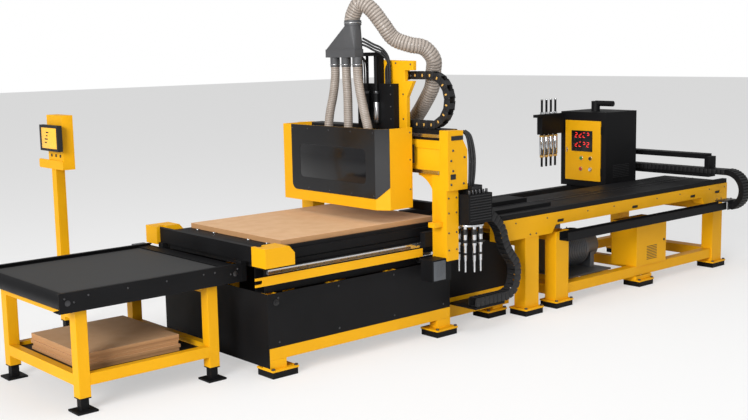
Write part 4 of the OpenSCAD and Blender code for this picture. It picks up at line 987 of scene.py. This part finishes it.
@dataclass
class Head:
    """The travelling head: hood, spindles, column and dust duct."""

    hood_x: float = 1215.0
    column_x: float = 1500.0
    cylinder_x: float = 1481.0
    cylinder_ys: tuple[int, ...] = (450, 560)
    neck_ys: tuple[int, ...] = (516, 655, 797)
    spindle_ys: tuple[int, ...] = (335, 590, 845)

    def build(self) -> None:
        """Dresses the head and adds its window, screws, cylinders, cables and clamps."""
        Piece.skin(BLACK, 1.5, "head_carriage")
        Piece.skin(YELLOW, 4.0, "head_column")
        Piece.skin(YELLOW, 2.0, "hood_shell")
        Piece.skin(GLOSS_BLACK, 1.5, "hood_front")
        Piece.skin(DUCT, 4.0, "dust_manifold")
        Piece.skin(DARK_METAL, 2.0, "z_plate")
        Piece.skin(ALLOY, 1.5, "spindle_housings")
        Piece.skin(STEEL, 1.0, "spindle_near", "spindle_middle", "spindle_far")
        pane = Shaper()
        pane.block((1216.4, 296, 1290), (1218.6, 1159, 1579), 1)
        pane.piece("hood_window", GLOSS_BLACK, "head")
        screws = Shaper()
        for z, ys in ((1708, (205, 480, 760, 1040, 1250)), (1204, (205, 480, 760, 1040))):
            for y in ys:
                screws.dome((self.hood_x, y, z), 7, 4, Axis.X)
        for z in (1240, 1480, 1700):
            screws.dome((1510, 90, z), 8, 4)
        screws.piece("hood_screws", DARK_METAL, "head")
        self.cylinders()
        self.cables()
        self.clamps()

    def cylinders(self) -> None:
        """Adds the caps and the bright sleeve of the balance cylinders."""
        caps = Shaper()
        for y in self.cylinder_ys:
            for z in (1762, 2004):
                caps.bar((self.cylinder_x, y, z), 25, 22, Axis.Z, 24, 3)
        caps.piece("cylinder_caps", DARK_METAL, "head")
        sleeve = Shaper()
        sleeve.bar((self.cylinder_x, self.cylinder_ys[0], 1786), 23.5, 150, Axis.Z, 28, 2)
        sleeve.piece("cylinder_sleeve", SILVER, "head")

    def cables(self) -> None:
        """Adds the cables over the column and its bolts."""
        for i in range(3):
            drop = 24 * i
            points = ((1383, 500 + drop / 2, 2455 - drop), (1412, 480, 2436 - drop), (1450, 440, 2404 - drop),
                      (1490, 392, 2374 - drop), (1524, 352, 2306 - drop), (1530, 336 + drop, 2200),
                      (1530, 336 + drop, 2084))
            Cable(f"head_cable_{i + 1}", points, 9.0).build("head")
        for i in range(3):
            y = 620 + 30 * i
            points = ((1530, y, 2084), (1528, y, 2180 + 30 * i), (1500, y - 20, 2260 + 20 * i),
                      (1440, y - 50, 2300 + 10 * i), (1384, y - 60, 2336))
            Cable(f"box_line_{i + 1}", points, 7.0).build("head")
        bolts = Shaper()
        for z in (1800, 1900, 2000, 2070):
            for y in (300, 680):
                bolts.dome((self.column_x, y, z), 8, 5, Axis.X)
        for y, z in ((125, 2240), (125, 2150), (215, 2000), (215, 1800), (300, 2250)):
            bolts.dome((self.column_x + 60, y, z), 9, 5, Axis.X)
        bolts.piece("column_bolts", DARK_METAL, "head")

    def clamps(self) -> None:
        """Adds the band clamps on the duct's necks and collar."""
        bands = Shaper()
        for y in self.neck_ys:
            bands.torus((1335, y, 2244), 41, 3.5)
        bands.torus((1330, 555, 2580), 71, 3.5)
        bands.piece("duct_clamps", STEEL, "head")
        pipes = Shaper()
        for y in self.spindle_ys:
            pipes.torus((1290, y, 1628), 41, 3.5)
        pipes.piece("pipe_clamps", STEEL, "lift")


@dataclass
class Hoses:
    """The large dust hose and the three spindle hoses."""

    main: Points = ((1330, 555, 2600.3), (1330, 552, 2636), (1340, 471, 2734), (1380, 382, 2681),
                    (1440, 318, 2566), (1520, 276, 2450), (1600, 175, 2397), (1700, 113, 2370),
                    (1780, 86, 2279), (1820, 128, 2175), (1850, 179, 2044), (1880, 326, 1881),
                    (1890, 416, 1784), (1890, 440, 1700.3))
    fall: tuple[tuple[float, float], ...] = ((1335, 2225.7), (1334, 0), (1325, 0), (1305, 0), (1292, 0),
                                             (1290, 1640.3))
    near: tuple[tuple[float, float], ...] = ((510, 2140), (470, 2000), (405, 1860), (352, 1745))
    middle: tuple[tuple[float, float], ...] = ((652, 2130), (632, 1990), (608, 1850), (593, 1740))
    far: tuple[tuple[float, float], ...] = ((800, 2130), (820, 1990), (842, 1850), (847, 1740))

    def build(self) -> None:
        """Builds the hoses in place of the CAD hoses."""
        large = RibbedHose("main_dust_hose", self.main, 65.0, 24.0, 6.0, 26).build()
        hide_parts("main_hose")
        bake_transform(large)
        for name, inner, top_y, low_y in (("near", self.near, 516, 335), ("middle", self.middle, 655, 590),
                                          ("far", self.far, 797, 845)):
            (top_x, top_z), *xs, (low_x, low_z) = self.fall
            points = ((top_x, top_y, top_z), *((x, y, z) for (x, _), (y, z) in zip(xs, inner)),
                      (low_x, low_y, low_z))
            hose = RibbedHose(name + "_spindle_hose", points, 38.0, 15.0, 3.0, 18).build()
            if name == "near":
                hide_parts("spindle_hoses")
            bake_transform(hose)


@dataclass
class Chains:
    """The cable chains of the gantry and the head."""

    low_y: float = -140.0
    low_line: tuple[tuple[float, float], ...] = (
        (2090.3, 1000), (2125, 1000), (2190, 972), (2275, 900), (2330, 815), (2355, 730), (2410, 635),
        (2480, 550),
        (2505, 490), (2505, 420), (2485, 345), (2440, 290), (2360, 263), (2260, 262), (1985, 262))
    cross_x: float = 1685.0
    cross_bottom: float = 1754.3
    cross_top: float = 2150.0

    def build(self) -> None:
        """Builds the chains in place of the CAD chains."""
        low = LinkChain("travel_chain", tuple((x, self.low_y, z) for x, z in self.low_line), 79.0, 90.0,
                        Axis.Y, 50.0)
        made = low.build()
        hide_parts("x_cable_chain")
        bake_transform(made)
        x, bottom, top = self.cross_x, self.cross_bottom, self.cross_top
        middle, radius = (bottom + top) / 2, (top - bottom) / 2
        arc = tuple((x, 10 + radius * math.cos(math.radians(a)), middle + radius * math.sin(math.radians(a)))
                    for a in range(270, 89, -15))
        points = ((x, 360, bottom), (x, 150, bottom), *arc, (x, 120, top), (x, 297.7, top))
        cross = LinkChain("head_chain", points, 66.0, 66.0, Axis.X, 86.0)
        pins = cross.bright_pins()
        made = cross.build()
        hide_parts("y_cable_chain")
        for part in (made, pins):
            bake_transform(part)


@dataclass
class LoadTable:
    """The loading table with deck, box and pump."""

    web_y: float = -77.0
    pump_axis: tuple[float, float] = (350.0, 420.0)

    def build(self) -> None:
        """Dresses the table and adds painted shadows in its slots, and its bolts, guides, vents and fins."""
        Piece.skin(YELLOW, 3.0, "load_beams", "electrical_box")
        Piece.skin(MAT, 2.0, "load_deck")
        Piece.skin(MOTOR, 4.0, "vacuum_pump")
        # Flat black plates on the beam web are painted shadow where the slots are, not openings.
        slot_shade_plates = Shaper()
        for x in (3210, 4340, 5340, 5800):
            slot_shade_plates.block((x - 46, -71, 794), (x + 46, -69, 816), 4)
        slot_shade_plates.piece("beam_slot_shadows", PLASTIC, "frame")
        bolts = Shaper()
        for x in (2455, 2600, 3020, 3600, 4000, 4700, 5100, 5640, 5930):
            bolts.dome((x, self.web_y, 848), 8, 5)
        for x in (2790, 2870, 3210, 3290, 5790, 5870):
            bolts.dome((x, self.web_y, 728), 9, 6)
        bolts.piece("beam_bolts", DARK_METAL, "frame")
        guides = Shaper()
        for y in (20, 330, 430):
            guides.block((2430, y, 905), (5975, y + 8, 909), 1)
        guides.piece("deck_guides", DARK_METAL, "frame")
        box = Shaper()
        for z in range(250, 380, 16):
            box.block((4560, -67, z), (4730, -64, z + 6), 1)
        box.bar((4850, -71, 420), 12, 8, Axis.Y, 20, 2)
        box.piece("box_vents", PLASTIC, "frame")
        fins = Shaper()
        for x in range(3540, 3930, 26):
            fins.bar((x, *self.pump_axis), 186, 8, Axis.X, 32, 1)
        fins.piece("pump_fins", MOTOR, "frame")


@dataclass
class ControlCabinet:
    """The travelling cabinet with door, arms and drill block."""

    door_x: float = 4915.0
    loop_y: float = -200.0
    loop_z: float = 840.0
    loop_r: float = 212.0
    loop_ribs: int = 19
    run_links: int = 25
    bank_x: float = 4544.0
    bank_y: float = 1297.0
    bank_step: float = 74.0

    def build(self) -> None:
        """Dresses the cabinet and adds its display, chain loop and drill collars."""
        Piece.skin(BLACK, 3.0, "cabinet_shell")
        Piece.skin(BLACK, 2.0, "cabinet_arms")
        Piece.skin(BLACK, 1.5, "drill_block")
        Piece.skin(YELLOW, 3.0, "cabinet_door")
        for finish, node in ((GREEN, "button_start"), (PLASTIC, "button_hold"), (RED, "button_stop"),
                             (STEEL, "button_reset")):
            Piece.skin(finish, 1.5, node)
        self.display()
        self.fittings()
        self.loop()
        self.bank("drill_collars", STEEL, ((1640, 22, 24, 6, 2), (1790, 15, 10, 16, 2),
                                           (1210, 26, 190, 24, 4)))
        self.bank("drill_rings", BRASS, ((1180, 22, 24, 20, 3), (1400, 27, 16, 24, 3)))

    def display(self) -> None:
        """Adds the display with its two rows of digits."""
        panel = Shaper()
        panel.block((self.door_x, 888, 1237), (self.door_x + 6.2, 1164, 1459), 2)
        panel.piece("display_panel", GLOSS_BLACK, "door")
        digits = Shaper()
        low, high = self.door_x - 0.8, self.door_x + 0.4
        strokes = ((0, 0, 20, 4), (0, 24, 20, 4), (0, 48, 20, 4), (13, 2, 3, 20), (-13, 26, 3, 20))
        for row, base in enumerate((1385, 1285)):
            for i in range(4):
                for shift, rise, wide, tall in strokes:
                    if (row + i + rise // 24) % 5 != 3:
                        y, z = 1100 - i * 52 + shift, base + rise
                        digits.block((low, y - wide / 2, z), (high, y + wide / 2, z + tall), 0)
        digits.piece("display_digits", LIT_RED, "door")

    def fittings(self) -> None:
        """Adds the button rings, the door lock and the side vents."""
        rings = Shaper()
        for y, z in ((1035, 1165), (915, 1165), (1040, 1048), (915, 1048)):
            rings.torus((4920.2, y, z), 20.5, 2.6, Axis.X, 28)
        rings.piece("button_rings", STEEL, "door")
        lock = Shaper()
        lock.bar((4914, 1222, 1250), 11, 8, Axis.X, 20, 2)
        lock.block((4908, 1218, 1222), (4915, 1226, 1278), 2)
        lock.piece("door_lock", STEEL, "door")
        vents = Shaper()
        for z in range(960, 1090, 18):
            vents.block((5060, 719.5, z), (5340, 723, z + 7), 1)
        vents.piece("cabinet_vents", PLASTIC, "cabinet")

    def loop(self) -> None:
        """Adds ribs on the round chain loop, links on its straight run and the carrier at its lower end."""
        ribs = Shaper()
        for i in range(self.loop_ribs):
            turn = math.radians(92 + i * 8.6)
            y, z = self.loop_y + self.loop_r * math.cos(turn), self.loop_z + self.loop_r * math.sin(turn)
            place = Matrix.Translation(spot(5810, y, z)) @ Matrix.Rotation(turn, 4, "X")
            shape = place @ Matrix.Diagonal((0.130, 0.009, 0.018, 1.0))
            ribs.soften(bmesh.ops.create_cube(ribs.bm, size=1.0, matrix=shape)["verts"], 2.0)
        ribs.piece("loop_ribs", PLASTIC, "cabinet")
        links = Shaper()
        for i in range(self.run_links):
            y = -185 + i * 50
            links.block((5737.5, y, 998), (5741, y + 40, 1048), 2)
        links.piece("run_links", PLASTIC, "cabinet")
        carrier = Shaper()
        carrier.block((5700, -262, 640), (5880, -254, 738), 2)
        carrier.block((5640, -262, 726), (5880, -146, 738), 3)
        for x in (5665, 5730, 5860):
            carrier.bar((x, self.loop_y, 738), 9, 8, Axis.Z, 6, 1)
        carrier.piece("loop_carrier", DARK_METAL, "cabinet")

    def bank(self, name: str, finish: Finish,
             rounds: tuple[tuple[float, float, float, int, float], ...]) -> None:
        """Adds the same round parts to each drill of the block.

        Args:
            name: Name of the piece.
            finish: Its finish.
            rounds: Lowest height, radius, length, sides and soft edge of each part.
        """
        parts = Shaper()
        for i in range(4):
            x = self.bank_x + self.bank_step * (i + 0.5)
            for z, radius, length, sides, soft in rounds:
                parts.bar((x, self.bank_y, z), radius, length, Axis.Z, sides, soft)
        parts.piece(name, finish, "drill")


@dataclass
class Studio:
    """The pale floor, soft lights and the camera."""

    eye: Point = (-4576.0, -6376.0, 2379.0)
    yaw: float = 48.66
    pitch: float = 8.35
    roll: float = 1.07
    lens: float = 53.28
    paper: float = 0.93
    sky: float = 0.40

    def camera(self) -> None:
        """Puts the camera at the set place and angle."""
        yaw, pitch, roll = (math.radians(v) for v in (self.yaw, self.pitch, self.roll))
        ahead = Vector((math.cos(yaw) * math.cos(pitch), math.sin(yaw) * math.cos(pitch), -math.sin(pitch)))
        right = Vector((math.sin(yaw), -math.cos(yaw), 0.0))
        down = ahead.cross(right)
        across = math.cos(roll) * right + math.sin(roll) * down
        lower = -math.sin(roll) * right + math.cos(roll) * down
        turn = Matrix((across, -lower, -ahead)).transposed().to_4x4()
        data = bpy.data.cameras.new("camera")
        data.lens = self.lens
        data.sensor_width = 36.0
        data.clip_end = 200.0
        made = bpy.data.objects.new("camera", data)
        made.matrix_world = Matrix.Translation(spot(*self.eye)) @ turn
        bpy.context.scene.collection.objects.link(made)
        bpy.context.scene.camera = made

    def lamp(self, name: str, place: Point, aim: Point, size: float, power: float) -> None:
        """Adds one soft square lamp.

        Args:
            name: Name of the lamp.
            place: Where it is, in metres in the row frame.
            aim: What it points at, in metres.
            size: Side of its square in metres.
            power: Its power in watts.
        """
        data = bpy.data.lights.new(name, "AREA")
        data.energy = power
        data.size = size
        made = bpy.data.objects.new(name, data)
        way = Vector(aim) - Vector(place)
        turn = way.to_track_quat("-Z", "Y").to_matrix().to_4x4()
        made.matrix_world = Matrix.Translation(Vector(place)) @ turn
        bpy.context.scene.collection.objects.link(made)

    def whiten(self, wires: Wires, plain: bpy.types.Node, white: bpy.types.Node, share: float,
               end: bpy.types.Node) -> None:
        """Pales what is seen of the floor or the sky, without adding light.

        Args:
            wires: The node tree.
            plain: Shader that lights the object.
            white: Shader that is seen.
            share: Share of white in what is seen.
            end: The tree's last node.
        """
        path = wires.add("LightPath")
        part = wires.add("Math", {1: share}, operation="MULTIPLY")
        mix = wires.add("MixShader")
        wires.join((path, "Is Camera Ray", part, 0), (part, 0, mix, 0), (plain, 0, mix, 1),
                   (white, 0, mix, 2),
                   (mix, 0, end, "Surface"))

    def floor(self) -> None:
        """Adds the pale floor."""
        bm = bmesh.new()
        bmesh.ops.create_grid(bm, x_segments=1, y_segments=1, size=60.0)
        mesh = bpy.data.meshes.new("floor")
        bm.to_mesh(mesh)
        bm.free()
        paper = bpy.data.materials.new("pale_floor")
        paper.use_nodes = True
        shader, end = (paper.node_tree.nodes[name] for name in ("Principled BSDF", "Material Output"))
        shader.inputs["Base Color"].default_value = (self.paper, self.paper, self.paper, 1)
        shader.inputs["Roughness"].default_value = 0.6
        wires = Wires(paper.node_tree)
        self.whiten(wires, shader, wires.add("Emission"), 0.5, end)
        mesh.materials.append(paper)
        made = bpy.data.objects.new("floor", mesh)
        made.location = (0, 0, -0.0005)
        bpy.context.scene.collection.objects.link(made)

    def build(self) -> None:
        """Adds the floor, the sky, the lamps and the camera."""
        self.floor()
        world = bpy.data.worlds.new("studio")
        world.use_nodes = True
        plain, end = (world.node_tree.nodes[name] for name in ("Background", "World Output"))
        plain.inputs["Color"].default_value = (1, 1, 1, 1)
        plain.inputs["Strength"].default_value = self.sky
        wires = Wires(world.node_tree)
        white = wires.add("Background", {"Color": (1, 1, 1, 1), "Strength": 1.0})
        self.whiten(wires, plain, white, 1.0, end)
        bpy.context.scene.world = world
        self.lamp("left_key", (-20.0, -9.0, 8.0), (0, 0, 0.8), 8.0, 3900)
        self.lamp("top_soft", (-1.0, -2.0, 7.5), (0, 0, 0.8), 7.0, 280)
        self.lamp("near_fill", (2.0, -9.0, 3.5), (1.0, 0, 0.8), 5.0, 20)
        bpy.context.scene.view_settings.view_transform = "Standard"
        self.camera()


def main() -> None:
    """Builds every sub-assembly in order."""
    logging.basicConfig(level=logging.INFO, format="%(name)s %(message)s")
    for part in (Studio(), Bed(), UnloadTable(), Pedestal(), Gantry(), Head(), Hoses(), Chains(), LoadTable(),
                 ControlCabinet()):
        part.build()
        LOG.info("built %s", type(part).__name__)
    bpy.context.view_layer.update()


if __name__ == "__main__":
    main()
